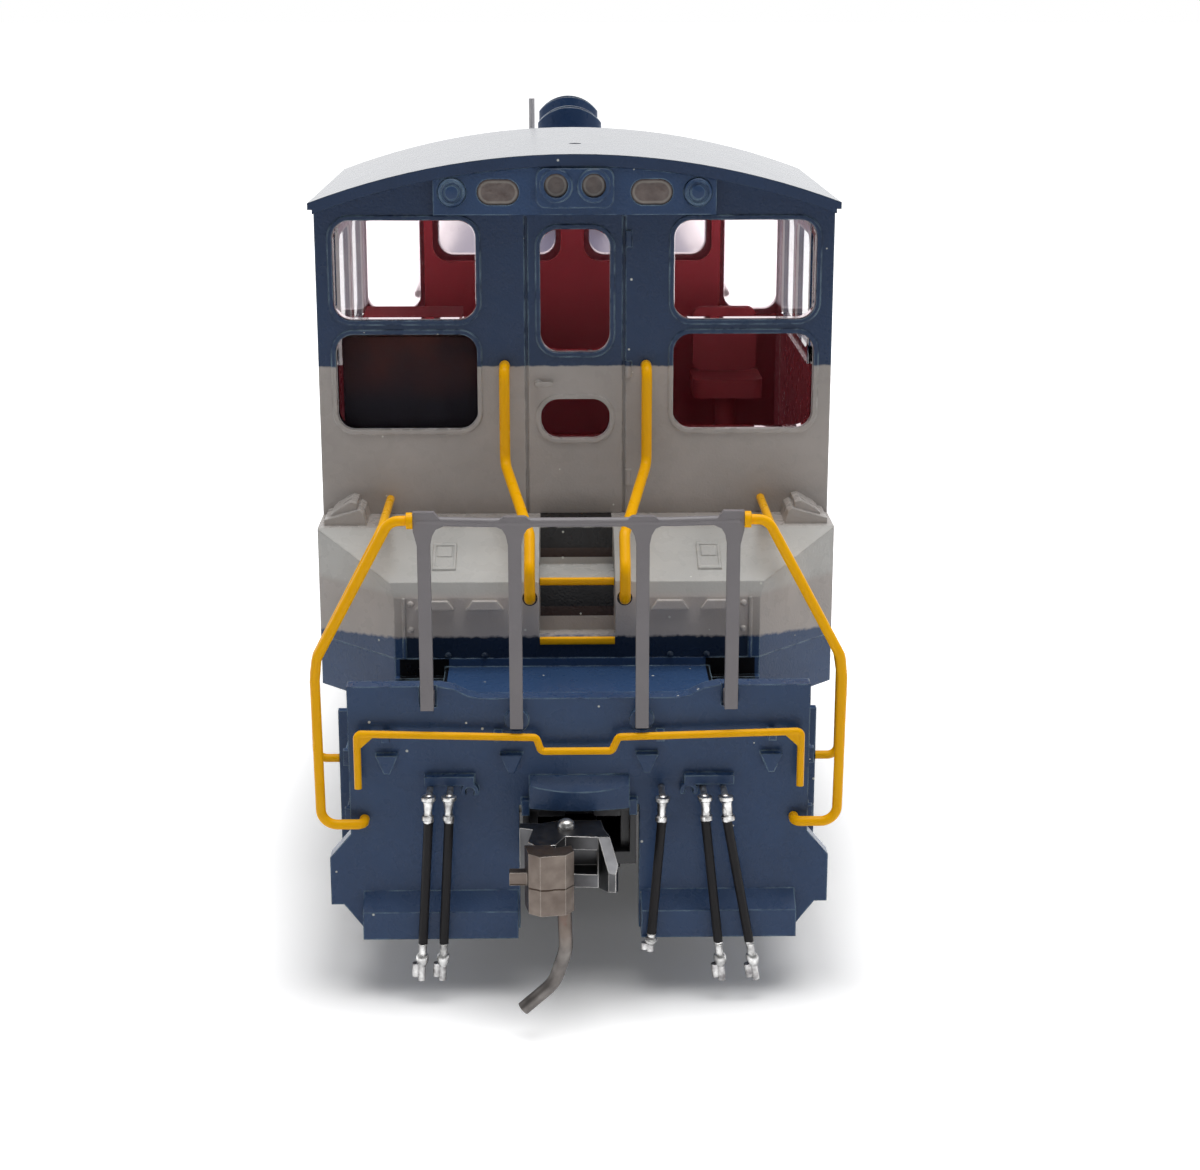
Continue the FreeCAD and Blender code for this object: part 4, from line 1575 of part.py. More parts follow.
# ---------------------------------------------------------------- write every node
def main():
    rear_lever = cut_lever()
    rear_pilot = pilot_with_lever_eyes(rear_lever)
    right_step = step_unit()
    rear_steps = [right_step, mirrored(right_step)]
    pocket = coupler_pocket()
    rear_hoses = brake_hoses()
    railing = end_railing()
    write("chassis_frame", chassis_frame())
    write("running_board", running_board())
    write("rear_pilot", rear_pilot)
    write("front_pilot", turned(rear_pilot))
    write("step_wells", rear_steps + [turned(s) for s in rear_steps])
    write("fuel_tank", fuel_tank())
    write("air_reservoirs", air_reservoirs())
    write("motor_case", motor_case())
    write("motor_cradle", motor_cradle())
    write("motor_armature", motor_armature())
    write("flywheels", flywheels())
    write("drive_shafts", drive_shafts())
    write("circuit_board", circuit_board())
    write("cab_base", cab_base())
    write("cab_shell", cab_shell())
    write("cab_roof", cab_roof())
    write("cab_windows", cab_windows())
    write("cab_interior", cab_interior())
    write("light_boards", light_boards())
    write("lamp_lenses", lamp_lenses())
    write("hood_shell", hood_shell())
    write("radiator_shutters", radiator_shutters())
    write("radiator_fan", radiator_fan())
    write("exhaust_stacks", exhaust_stacks())
    write("antenna", antenna())
    write("bell", bell())
    write("horn", horn())
    write("end_railings", [railing, turned(railing)])
    write("corner_handrails", corner_handrails())
    write("door_handrails", door_handrails())
    write("hood_handrails", hood_handrails())
    write("cut_levers", [rear_lever, turned(rear_lever)])
    write("brake_hoses", rear_hoses + [turned(h) for h in rear_hoses])
    write("coupler_pockets", [pocket, turned(pocket)])
    write("rear_coupler", coupler())
    write("front_coupler", turned(coupler()))
    write("rear_knuckle", knuckle())
    write("front_knuckle", turned(knuckle()))
    truck = {"gearbox": gearbox(), "worm_cover": [worm_cover()], "sideframes": sideframes(),
             "worm": [worm()], "worm_gear": [worm_gear()]}
    for name, side in (("outer", 1), ("inner", -1)):
        truck[name + "_idler_gear"] = [idler(side)]
        truck[name + "_axle"] = [axle(side)]
        truck[name + "_wheels"] = wheels(side)
    for name, solids in truck.items():
        write("front_" + name, solids)
        write("rear_" + name, [turned(s) for s in solids])


main()
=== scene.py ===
"""Model diesel switching locomotive: the finish of every piece, and the studio it stands in."""
import math

import bpy
from mathutils import Matrix, Vector


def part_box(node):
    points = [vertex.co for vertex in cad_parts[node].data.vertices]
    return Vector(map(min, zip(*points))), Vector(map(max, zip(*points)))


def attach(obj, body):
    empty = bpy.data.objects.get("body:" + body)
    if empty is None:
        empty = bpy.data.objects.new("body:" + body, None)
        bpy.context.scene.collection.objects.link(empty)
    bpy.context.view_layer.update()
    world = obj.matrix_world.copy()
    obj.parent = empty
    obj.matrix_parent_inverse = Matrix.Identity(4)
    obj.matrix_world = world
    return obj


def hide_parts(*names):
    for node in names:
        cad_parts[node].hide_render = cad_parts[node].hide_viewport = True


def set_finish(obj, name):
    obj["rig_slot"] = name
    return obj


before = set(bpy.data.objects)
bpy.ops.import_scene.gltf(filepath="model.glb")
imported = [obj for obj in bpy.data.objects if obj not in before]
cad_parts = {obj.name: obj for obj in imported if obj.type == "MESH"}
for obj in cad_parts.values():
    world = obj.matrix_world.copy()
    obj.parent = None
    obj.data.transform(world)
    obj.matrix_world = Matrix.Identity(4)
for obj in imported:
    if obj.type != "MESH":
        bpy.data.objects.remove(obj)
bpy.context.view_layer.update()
bpy.ops.object.select_all(action="DESELECT")

# ---------------------------------------------------------------- studio
# A plain white sweep on a table, a large soft box overhead and white paper all round. The engine
# stands on the sweep and is seen from its cab end, from a little above the roof.
MM = 0.001
scene = bpy.context.scene
scene.view_settings.view_transform = "Standard"


class Mix:
    """A value that runs through a material's nodes; sums written on it add Math nodes."""

    def __init__(self, socket):
        self.socket = socket

    def math(self, operation, *others, swapped=False):
        tree = self.socket.id_data
        node = tree.nodes.new("ShaderNodeMath")
        node.operation = operation
        operands = [self, *others]
        if swapped:
            operands.reverse()
        for place, operand in zip(node.inputs, operands):
            if isinstance(operand, Mix):
                tree.links.new(operand.socket, place)
            else:
                place.default_value = operand
        return Mix(node.outputs[0])

    def __add__(self, other):
        return self.math("ADD", other)

    def __radd__(self, other):
        return self.math("ADD", other)

    def __sub__(self, other):
        return self.math("SUBTRACT", other)

    def __rsub__(self, other):
        return self.math("SUBTRACT", other, swapped=True)

    def __mul__(self, other):
        return self.math("MULTIPLY", other)

    def __rmul__(self, other):
        return self.math("MULTIPLY", other)

    def __truediv__(self, other):
        return self.math("DIVIDE", other)

    def __gt__(self, other):
        return self.math("GREATER_THAN", other)

    def __lt__(self, other):
        return self.math("LESS_THAN", other)

    def clamped(self):
        node = self.math("ADD", 0.0)
        node.socket.node.use_clamp = True
        return node

    def absolute(self):
        return self.math("ABSOLUTE")

    def between(self, low, high):
        """1 between two limits and 0 outside them."""
        return (self > low) * (self < high)

    def rise(self, start, width):
        """0 up to a start, rising to 1 over a width."""
        return ((self - start) / width).clamped()

    def stretched(self, gain, cut):
        """Soft noise with more contrast, kept from 0 to 1."""
        return (self * gain - cut).clamped()


def distance(first, second):
    """How far a point is from a centre, from its distances along two axes."""
    return (first * first + second * second).math("SQRT")


class Recipe:
    """The nodes of a material or of the world, each made by one method."""

    def __init__(self, tree):
        self.tree = tree

    def node(self, kind, settings=None, inputs=None, out=0):
        node = self.tree.nodes.new(kind)
        for name, value in (settings or {}).items():
            setattr(node, name, value)
        for name, value in (inputs or {}).items():
            if isinstance(value, Mix):
                self.tree.links.new(value.socket, node.inputs[name])
            else:
                node.inputs[name].default_value = value
        return Mix(node.outputs[out]) if node.outputs else None

    def split(self, vector):
        """The X, Y and Z of a vector."""
        parts = self.node("ShaderNodeSeparateXYZ", inputs={0: vector})
        return [Mix(part) for part in parts.socket.node.outputs]

    def rays(self, *kinds):
        """1 for these kinds of ray and 0 for the others."""
        path = self.node("ShaderNodeLightPath").socket.node
        share = Mix(path.outputs[kinds[0]])
        for kind in kinds[1:]:
            share = share + Mix(path.outputs[kind])
        return share.clamped()


class Finish(Recipe):
    """One material: its shader's constants are set when it is made, the rest is linked later."""

    def __init__(self, name, **constants):
        self.material = bpy.data.materials.new(name)
        self.material.use_nodes = True
        super().__init__(self.material.node_tree)
        self.tree.nodes.clear()
        surface = self.node("ShaderNodeBsdfPrincipled")
        self.shader = surface.socket.node
        self.node("ShaderNodeOutputMaterial", inputs={"Surface": surface})
        for name, value in constants.items():
            self.shader.inputs[name.replace("_", " ")].default_value = value

    def feed(self, name, value):
        self.tree.links.new(value.socket, self.shader.inputs[name])

    def place(self):
        """Object coordinates, and their X, Y and Z."""
        where = self.node("ShaderNodeTexCoord", out=3)
        return where, self.split(where)

    def noise(self, where, size, detail=2.0, roughness=0.5):
        """Soft noise, 0 to 1, whose blobs are about this size in metres."""
        return self.node("ShaderNodeTexNoise", {}, {"Vector": where, "Scale": 1 / size,
                                                    "Detail": detail, "Roughness": roughness})

    def blend(self, share, first, second):
        """Two colours mixed by a share from 0 to 1."""
        return self.node("ShaderNodeMix", {"data_type": "RGBA"}, {0: share, 6: first, 7: second},
                         out=2)

    def roughen(self, where, size, low, spread):
        """Feeds the roughness: patches of this size, from a low value upwards."""
        self.feed("Roughness", self.noise(where, size) * spread + low)

    def bump(self, rounded, height, depth, strength):
        """Feeds the normal: a fine texture of this depth over rounded edges."""
        normal = self.node("ShaderNodeBump", {}, {"Strength": strength, "Distance": depth,
                                                  "Height": height, "Normal": rounded})
        self.feed("Normal", normal)


def rgb(red, green, blue):
    return (red, green, blue, 1.0)


# The sheet has a painted glow for camera, glossy and transmission rays. It grows away from the
# engine's footprint and lifts the sheet to white, and stays low close to the engine so its shade
# shows.
PAPER = rgb(0.93, 0.93, 0.935)
FLOOR_SIZE = 6.0
NEAR_LIFT, FAR_LIFT = 0.07, 0.75
FOOTPRINT_HALF_WIDTH, FOOTPRINT_HALF_LENGTH = 16 * MM, 74.5 * MM
SHADE_REACH = 12 * MM
sheet = Finish("paper_sweep", Roughness=0.9, Base_Color=PAPER, Emission_Strength=1.0)
_, (x, y, z) = sheet.place()
beside = (x.absolute() - FOOTPRINT_HALF_WIDTH).math("MAXIMUM", 0.0)
before = (y.absolute() - FOOTPRINT_HALF_LENGTH).math("MAXIMUM", 0.0)
reach = distance(beside, before) / SHADE_REACH
lift = sheet.rays("Is Camera Ray", "Is Glossy Ray", "Is Transmission Ray")
lift = lift * (reach.clamped() * (FAR_LIFT - NEAR_LIFT) + NEAR_LIFT)
floor_painted_glow = sheet.node("ShaderNodeCombineColor", inputs={0: lift, 1: lift, 2: lift})
sheet.feed("Emission Color", floor_painted_glow)
bpy.ops.mesh.primitive_plane_add(size=FLOOR_SIZE, location=(0, 0, 0))
floor = bpy.context.object
floor.name = "paper_floor"
floor.data.materials.append(sheet.material)

# The room is white to the eye and in reflections. Its light is softer, and dimmer behind the
# camera, so that the cab end keeps its colours.
SURROUND, ROOM_DIM = 0.5, 0.7
DIM_START, DIM_RATE = 0.15, 1.6
world = bpy.data.worlds.new("white_paper_round")
scene.world = world
world.use_nodes = True
paper = Recipe(world.node_tree)
backdrop = world.node_tree.nodes["Background"]
backdrop.inputs["Color"].default_value = rgb(1.0, 1.0, 1.0)
_, y, _ = paper.split(paper.node("ShaderNodeTexCoord"))
seen = paper.rays("Is Camera Ray", "Is Transmission Ray")
room_light = paper.rays("Is Glossy Ray") * (1.0 - SURROUND) + SURROUND
room_light = room_light * (1.0 - ((DIM_START - y) * DIM_RATE).clamped() * ROOM_DIM)
strength = seen + (1.0 - seen) * room_light
world.node_tree.links.new(strength.socket, backdrop.inputs["Strength"])

SOFT_BOX_PLACE, SOFT_BOX_SIZE, SOFT_BOX_POWER = (0.05, -0.06, 0.62), 0.55, 3.2
bpy.ops.object.light_add(type="AREA", location=SOFT_BOX_PLACE)
soft_box = bpy.context.object
soft_box.data.shape = "DISK"
soft_box.data.size = SOFT_BOX_SIZE
soft_box.data.energy = SOFT_BOX_POWER
soft_box.rotation_euler = Vector(SOFT_BOX_PLACE).to_track_quat("Z", "Y").to_euler()

CAMERA_PLACE, CAMERA_TILT, CAMERA_TURN = (-0.00131, -0.20439, 0.06218), 74.60, -1.153
bpy.ops.object.camera_add(location=CAMERA_PLACE,
                          rotation=(math.radians(CAMERA_TILT), 0, math.radians(CAMERA_TURN)))
camera = bpy.context.object
camera.data.lens = 66.15
camera.data.sensor_width = 36.0
camera.data.clip_start = 5 * MM
camera.data.clip_end = 20.0
scene.camera = camera

# ---------------------------------------------------------------- frame and drive
# The frame is cast in zinc and blackened. A black nylon cradle holds the motor in it, with turned
# brass flywheels and worms and white acetal shafts and gears; the circuit board clips on top.
EDGE_GAIN, METAL_EDGE = 9.0, rgb(0.75, 0.74, 0.72)


def dress(node, finish):
    """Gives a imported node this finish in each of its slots."""
    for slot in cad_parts[node].material_slots:
        slot.material = finish.material


def soft_edges(finish, radius, samples=4):
    """The normal of a surface whose sharp edges are rounded off."""
    return finish.node("ShaderNodeBevel", {"samples": samples}, {"Radius": radius})


def edge_share(finish, rounded):
    """0 on open faces, rising towards 1 on the edges of the piece."""
    flat = finish.node("ShaderNodeNewGeometry", out=1)
    facing = finish.node("ShaderNodeVectorMath", {"operation": "DOT_PRODUCT"},
                         {0: rounded, 1: flat}, out=1)
    return ((1.0 - facing) * EDGE_GAIN).clamped()


def moulded(name, colour, light_colour, roughness=0.45, grain=0.2 * MM, depth=0.03 * MM, sheen=0.4):
    """Plain moulded plastic, a little spark-eroded; its paler edges are part wear, part painted
    highlight.
    """
    finish = Finish(name, Specular_IOR_Level=sheen)
    where, _ = finish.place()
    rounded = soft_edges(finish, 0.1 * MM)
    patch = finish.noise(where, 2 * MM) * 0.4
    wear_and_edge_highlight = (edge_share(finish, rounded) * 0.5 + patch).clamped()
    finish.feed("Base Color", finish.blend(wear_and_edge_highlight, colour, light_colour))
    finish.roughen(where, 1 * MM, roughness - 0.1, 0.2)
    finish.bump(rounded, finish.noise(where, grain), depth, 0.4)
    return finish


def bare_metal(name, colour, dark_colour, roughness=0.3, grain=0.3 * MM, bright_edge=0.0,
               blotch=1.5 * MM):
    """Metal with fine machining or casting marks, dull patches, and edges brightened partly by
    rubbing and partly as a painted highlight.
    """
    finish = Finish(name, Metallic=1.0)
    where, _ = finish.place()
    rounded = soft_edges(finish, 0.08 * MM)
    patch = finish.noise(where, blotch, detail=4.0).stretched(2.0, 0.6)
    tone = finish.blend(patch, colour, dark_colour)
    # Edge brightening: partly rubbing, partly a painted highlight.
    edge_wear_and_highlight = edge_share(finish, rounded) * bright_edge
    finish.feed("Base Color", finish.blend(edge_wear_and_highlight, tone, METAL_EDGE))
    finish.roughen(where, 0.6 * MM, roughness - 0.1, 0.25)
    finish.bump(rounded, finish.noise(where, grain), 0.02 * MM, 0.3)
    return finish


frame_black = moulded("blackened_zinc", rgb(0.02, 0.02, 0.021), rgb(0.10, 0.10, 0.10), 0.45)
black = moulded("black_styrene", rgb(0.012, 0.012, 0.014), rgb(0.05, 0.05, 0.055), 0.35)
board_green = moulded("circuit_green", rgb(0.01, 0.07, 0.02), rgb(0.02, 0.12, 0.04), 0.35)
acetal = moulded("white_acetal", rgb(0.72, 0.70, 0.64), rgb(0.8, 0.79, 0.74), 0.4)
brass = bare_metal("turned_brass", rgb(0.62, 0.42, 0.14), rgb(0.42, 0.27, 0.09), 0.25)
steel = bare_metal("plated_steel", rgb(0.55, 0.55, 0.56), rgb(0.38, 0.38, 0.39), 0.3)
for finish, nodes in ((frame_black, ("chassis_frame",)), (black, ("motor_cradle",)),
                      (board_green, ("circuit_board",)), (steel, ("motor_case", "motor_armature")),
                      (brass, ("flywheels", "rear_worm", "front_worm")),
                      (acetal, ("drive_shafts", "rear_worm_gear", "front_worm_gear",
                                "rear_outer_idler_gear", "rear_inner_idler_gear",
                                "front_outer_idler_gear", "front_inner_idler_gear",
                                "rear_outer_axle", "rear_inner_axle",
                                "front_outer_axle", "front_inner_axle"))):
    for node in nodes:
        dress(node, finish)

# ---------------------------------------------------------------- trucks, tank and pockets
# The gear towers, fuel tank, air reservoirs and coupler pockets are moulded in black, and the side
# frames in dark grey, clipped over the towers. The wheels are turned and plated, and dull from use.
truck_grey = moulded("truck_grey", rgb(0.022, 0.022, 0.026), rgb(0.07, 0.07, 0.075), 0.6)
nickel = bare_metal("nickel_tread", rgb(0.34, 0.33, 0.315), rgb(0.25, 0.24, 0.23), 0.3)
for node in ("fuel_tank", "air_reservoirs", "coupler_pockets"):
    dress(node, black)
for end in ("rear_", "front_"):
    for name, finish in (("gearbox", black), ("worm_cover", black), ("sideframes", truck_grey),
                         ("outer_wheels", nickel), ("inner_wheels", nickel)):
        dress(end + name, finish)

# ---------------------------------------------------------------- blue shells
# Walkway, end plates, steps, hood, light boards and roof fittings are styrene mouldings, sprayed in
# satin blue. The coat is thin on edges, where it is paler partly from wear and partly as a painted
# highlight; it has a fine grain and holds a few specks of dust.
BLUE, BLUE_EDGE = rgb(0.032, 0.070, 0.162), rgb(0.27, 0.39, 0.48)
SHADE, DUST = rgb(0.004, 0.004, 0.005), rgb(0.72, 0.73, 0.68)
SHEEN_LEVEL = 0.22
DUST_SPACING, DUST_RADIUS, DUST_SHARE = 1.2 * MM, 0.085 * MM, 0.28
WELL_ACROSS, WELL_ALONG, WELL_UP = (8.45, 11.7), (64.0, 74.05), (15.0, 18.95)


def specks(finish, where, spacing, radius, share):
    """Small round specks in some cells of a scattered grid."""
    cells = finish.node("ShaderNodeTexVoronoi", {}, {"Vector": where, "Scale": 1 / spacing})
    colour = Mix(cells.socket.node.outputs["Color"])
    chosen = finish.node("ShaderNodeSeparateColor", inputs={0: colour})
    return (cells < radius / spacing) * (chosen < share)


def sprayed(finish, where, colour, edge_colour, grain=0.004 * MM):
    """Feeds a satin sprayed coat of this colour (a link or a constant) to a finish."""
    rounded = soft_edges(finish, 0.14 * MM)
    patch = finish.noise(where, 5 * MM, detail=3.0)
    tone = finish.blend((patch - 0.3).clamped() * 0.4, colour, SHADE)
    # Edges are lightened towards the edge colour: partly wear, partly a painted highlight.
    edge_wear_and_highlight = edge_share(finish, rounded) * finish.noise(where, 1.2 * MM).stretched(3.2, 1.1)
    tone = finish.blend(edge_wear_and_highlight, tone, edge_colour)
    dust = specks(finish, where, DUST_SPACING, DUST_RADIUS, DUST_SHARE)
    finish.feed("Base Color", finish.blend(dust * 0.9, tone, DUST))
    finish.roughen(where, 1.2 * MM, 0.22, 0.12)
    finish.bump(rounded, finish.noise(where, 0.16 * MM, detail=1.0), grain * 10, 0.35)


def painted(name, **constants):
    """A finish for a painted shell."""
    return Finish(name, Specular_IOR_Level=SHEEN_LEVEL, **constants)


def in_mm(limits):
    return [limit * MM for limit in limits]


# The open wells over the steps are painted near black inside, as painted shade.
blue_paint = painted("satin_blue")
where, (x, y, z) = blue_paint.place()
well_painted_shade = x.absolute().between(*in_mm(WELL_ACROSS)) * z.between(*in_mm(WELL_UP))
well_painted_shade = well_painted_shade * y.absolute().between(*in_mm(WELL_ALONG))
sprayed(blue_paint, where, blue_paint.blend(well_painted_shade, BLUE, SHADE), BLUE_EDGE)
for node in ("running_board", "rear_pilot", "front_pilot", "step_wells", "light_boards",
             "hood_shell", "radiator_shutters", "radiator_fan", "exhaust_stacks", "horn"):
    dress(node, blue_paint)

# ---------------------------------------------------------------- cab base
# One moulding under the cab, sprayed blue and, above a masked line, grey. The line falls a little
# round the cut corners. Its flat front face is painted a darker blue and a paler grey, and the top of
# its slope a paler grey, as painted shade and painted light. The risers of its stair are painted
# brown, then black at the top, as painted shade under the treads.
GREY, GREY_EDGE = rgb(0.465, 0.430, 0.408), rgb(0.66, 0.64, 0.61)
FRONT_BLUE_SHADED, FRONT_GREY_LIT = rgb(0.014, 0.026, 0.056), rgb(0.545, 0.505, 0.485)
SLOPE_GREY_LIT = rgb(0.525, 0.520, 0.500)
RISER_SHADE_BROWN, RISER_SHADE_BLACK = rgb(0.045, 0.026, 0.022), rgb(0.008, 0.007, 0.008)
SOCKET_SHADE_BLACK = rgb(0.006, 0.005, 0.006)
LINE_Z, LINE_FALL, CORNER_DEPTH, BASE_SKIN = 20.45, 0.95, 5.4, 0.35
FRONT_HALF, FRONT_SKIN = 11.2, 0.5
SLOPE_FOOT, SLOPE_FADE, SLOPE_REACH, REACH_FADE = 23.1, 0.4, 6.5, 1.0
STAIR_HALF, STAIR_FOOT, STEP_Z, STEP_RISE = 2.44, 20.2, 23.7, 3.05
BROWN_FROM, BLACK_FROM = 21.35, 22.0
SOCKET_ACROSS, SOCKET_UP, SOCKET_RADIUS, SOCKET_SKIN = 3.1, 23.05, 0.5, 0.6


def meeting(finish, where, z, height, fuzz):
    """0 below a masked paint line and 1 above it; the line is slightly ragged and soft."""
    ragged = (finish.noise(where, 0.5 * MM, detail=3.0) - 0.5) * fuzz * 2
    return ((z + ragged - height) / fuzz + 0.5).clamped()


base_low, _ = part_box("cab_base")
base_front = base_low[1]
base_paint = painted("base_two_tone")
where, (x, y, z) = base_paint.place()
across = x.absolute()
back = (y - base_front - BASE_SKIN * MM) / (CORNER_DEPTH * MM)
line = (LINE_Z - back.clamped() * LINE_FALL) * MM
above = meeting(base_paint, where, z, line, 0.2 * MM)
# The flat front face gets a darker blue and a paler grey, and the slope a paler grey: painted shade
# and painted light.
front = (across < FRONT_HALF * MM) * (y < base_front + FRONT_SKIN * MM)
sloped_lit = z.rise(SLOPE_FOOT * MM, SLOPE_FADE * MM)
sloped_lit = sloped_lit * ((base_front + SLOPE_REACH * MM - y) / (REACH_FADE * MM)).clamped()
blue_tone = base_paint.blend(front, BLUE, FRONT_BLUE_SHADED)
grey_tone = base_paint.blend(front, GREY, FRONT_GREY_LIT)
grey_tone = base_paint.blend(sloped_lit, grey_tone, SLOPE_GREY_LIT)
tone = base_paint.blend(above, blue_tone, grey_tone)

# The upper part of each riser, under the tread above, is painted brown then black as painted shade.
in_stair = (across < STAIR_HALF * MM) * (z > STAIR_FOOT * MM)
riser_z = z - (z > STEP_Z * MM) * (STEP_RISE * MM)
tone = base_paint.blend(in_stair * (riser_z > BROWN_FROM * MM), tone, RISER_SHADE_BROWN)
tone = base_paint.blend(in_stair * (riser_z > BLACK_FROM * MM), tone, RISER_SHADE_BLACK)
# A black disc round each door rail's socket is painted shade in the hole.
from_socket = distance(across - SOCKET_ACROSS * MM, z - SOCKET_UP * MM)
socket = (from_socket < SOCKET_RADIUS * MM) * (y < base_front + SOCKET_SKIN * MM)
tone = base_paint.blend(socket, tone, SOCKET_SHADE_BLACK)
sprayed(base_paint, where, tone, base_paint.blend(above, BLUE_EDGE, GREY_EDGE))
dress("cab_base", base_paint)

# ---------------------------------------------------------------- cab walls
# The four walls are one moulding, grey below and blue above, with a red inside; their blue is darker
# than the other shells as painted shade. The glazing is pressed into the openings from inside. The
# reveals are painted pale grey with a painted glow, and the red inside has a faint painted glow:
# painted light.
SHADED_CAB_BLUE = rgb(0.022, 0.046, 0.108)
OPENING_LIT_GREY, OPENING_PAINTED_GLOW = rgb(0.30, 0.28, 0.28), rgb(0.13, 0.12, 0.12)
INSIDE_RED, INSIDE_PAINTED_GLOW = rgb(0.18, 0.014, 0.018), rgb(0.034, 0.006, 0.008)
WALL_LINE = 36.75
INSIDE_HALF, INSIDE_ALONG = 16.55, (-55.15, -31.85)
OPENING_HALF, OPENING_ALONG = 17.1, (-55.75, -31.2)
FLOOR_Z, WINDOW_TOP = 27.5, 47.0
cab_paint = painted("cab_two_tone", Emission_Strength=1.0)
where, (x, y, z) = cab_paint.place()
above = meeting(cab_paint, where, z, WALL_LINE * MM, 0.12 * MM)
inside = (x.absolute() < INSIDE_HALF * MM) * y.between(*in_mm(INSIDE_ALONG)) * (z > FLOOR_Z * MM)
opening = (x.absolute() < OPENING_HALF * MM) * y.between(*in_mm(OPENING_ALONG))
opening = opening * z.between(FLOOR_Z * MM, WINDOW_TOP * MM) * (1.0 - inside)
tone = cab_paint.blend(above, GREY, SHADED_CAB_BLUE)
# The reveals are painted pale grey and glow, and the red inside glows faintly: painted light.
tone = cab_paint.blend(opening, tone, OPENING_LIT_GREY)
tone = cab_paint.blend(inside, tone, INSIDE_RED)
painted_glow = cab_paint.blend(opening, rgb(0, 0, 0), OPENING_PAINTED_GLOW)
cab_paint.feed("Emission Color", cab_paint.blend(inside, painted_glow, INSIDE_PAINTED_GLOW))
sprayed(cab_paint, where, tone, cab_paint.blend(above, GREY_EDGE, BLUE_EDGE))
dress("cab_shell", cab_paint)

# ---------------------------------------------------------------- cab roof
# A separate curved moulding in blue, laid on the walls. It faces the sky and was rubbed smoother,
# so it shines like glass at a low angle; its end faces are as dull as the walls.
ROOF_EDGE, ROOF_SHINE, END_SKIN = rgb(0.05, 0.08, 0.12), 0.85, 0.02
roof_low, roof_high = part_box("cab_roof")
roof_paint = painted("roof_blue", Coat_Roughness=0.14)
where, (x, y, z) = roof_paint.place()
# The roof takes the cab's blue, which is darkened as painted shade.
sprayed(roof_paint, where, SHADED_CAB_BLUE, ROOF_EDGE, grain=0.0015 * MM)
open_top = y.between(roof_low[1] + END_SKIN * MM, roof_high[1] - END_SKIN * MM)
roof_paint.feed("Coat Weight", open_top * ROOF_SHINE)
dress("cab_roof", roof_paint)

# ---------------------------------------------------------------- cab interior
# Floor, stand, seat and lining are one moulding that drops out with the roof off. It is sprayed dark
# red, painted darker towards the floor as painted shade.
LOW_RED_SHADED, HIGH_RED = rgb(0.34, 0.045, 0.055), rgb(0.85, 0.095, 0.125)
CLOUD_RED = rgb(0.20, 0.026, 0.032)
RED_FROM, RED_RISE = 35.0, 9.0
red = Finish("red_interior", Specular_IOR_Level=0.1, Roughness=0.6)
where, (x, y, z) = red.place()
# Darker towards the floor: painted shade.
tone = red.blend(z.rise(RED_FROM * MM, RED_RISE * MM), LOW_RED_SHADED, HIGH_RED)
cloudy = red.noise(where, 4 * MM, detail=3.0) * 0.5
red.feed("Base Color", red.blend(cloudy, tone, CLOUD_RED))
red.feed("Normal", red.node("ShaderNodeBump", {}, {"Strength": 0.3, "Distance": 0.02 * MM,
                                                   "Height": red.noise(where, 0.2 * MM)}))
dress("cab_interior", red)

# ---------------------------------------------------------------- control cabinet
# A black styrene cabinet stands behind the lower left window, with a raised switch panel on its
# forward side. It turns brown in mottled patches towards its top, and it is cemented to the cab
# floor.
CABINET_LOW, CABINET_HIGH = (-15.9, -54.6, 27.5), (-6.2, -52.4, 38.6)
CABINET_ROUNDING, PANEL_MARGIN, PANEL_DEPTH, PANEL_LIP = 0.2, 0.8, 0.15, 0.25
CABINET_BLACK, CABINET_BROWN = rgb(0.006, 0.005, 0.008), rgb(0.075, 0.022, 0.016)
BROWN_START, BROWN_WIDTH = 34.0, 5.0


def block(name, low, high):
    """A new block between two corners given in millimetres."""
    bpy.ops.object.select_all(action="DESELECT")
    middle = [(a + b) / 2 * MM for a, b in zip(low, high)]
    bpy.ops.mesh.primitive_cube_add(size=MM, location=middle)
    piece = bpy.context.object
    piece.name = name
    piece.scale = [b - a for a, b in zip(low, high)]
    bpy.ops.object.transform_apply(location=True, rotation=True, scale=True)
    return piece


def pick(piece, faces=None, edges=None):
    """Enters edit mode with the faces, or the edges, that pass a test selected."""
    bpy.ops.object.mode_set(mode="EDIT")
    bpy.ops.mesh.select_mode(type="FACE" if faces else "EDGE")
    bpy.ops.mesh.select_all(action="DESELECT")
    bpy.ops.object.mode_set(mode="OBJECT")
    points = piece.data.vertices
    if faces:
        for face in piece.data.polygons:
            face.select = faces(face)
    else:
        for edge in piece.data.edges:
            edge.select = edges(*[points[end].co for end in edge.vertices])
    bpy.ops.object.mode_set(mode="EDIT")


def finished(piece, finish, slot, body="chassis"):
    """Leaves edit mode with the faces pointing outwards, and gives a piece its finish and body."""
    bpy.ops.mesh.select_all(action="SELECT")
    bpy.ops.mesh.remove_doubles(threshold=0.001 * MM)
    bpy.ops.mesh.normals_make_consistent(inside=False)
    bpy.ops.object.mode_set(mode="OBJECT")
    piece.data.materials.append(finish.material)
    bpy.ops.object.shade_smooth_by_angle(angle=math.radians(35))
    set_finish(piece, slot)
    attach(piece, body)


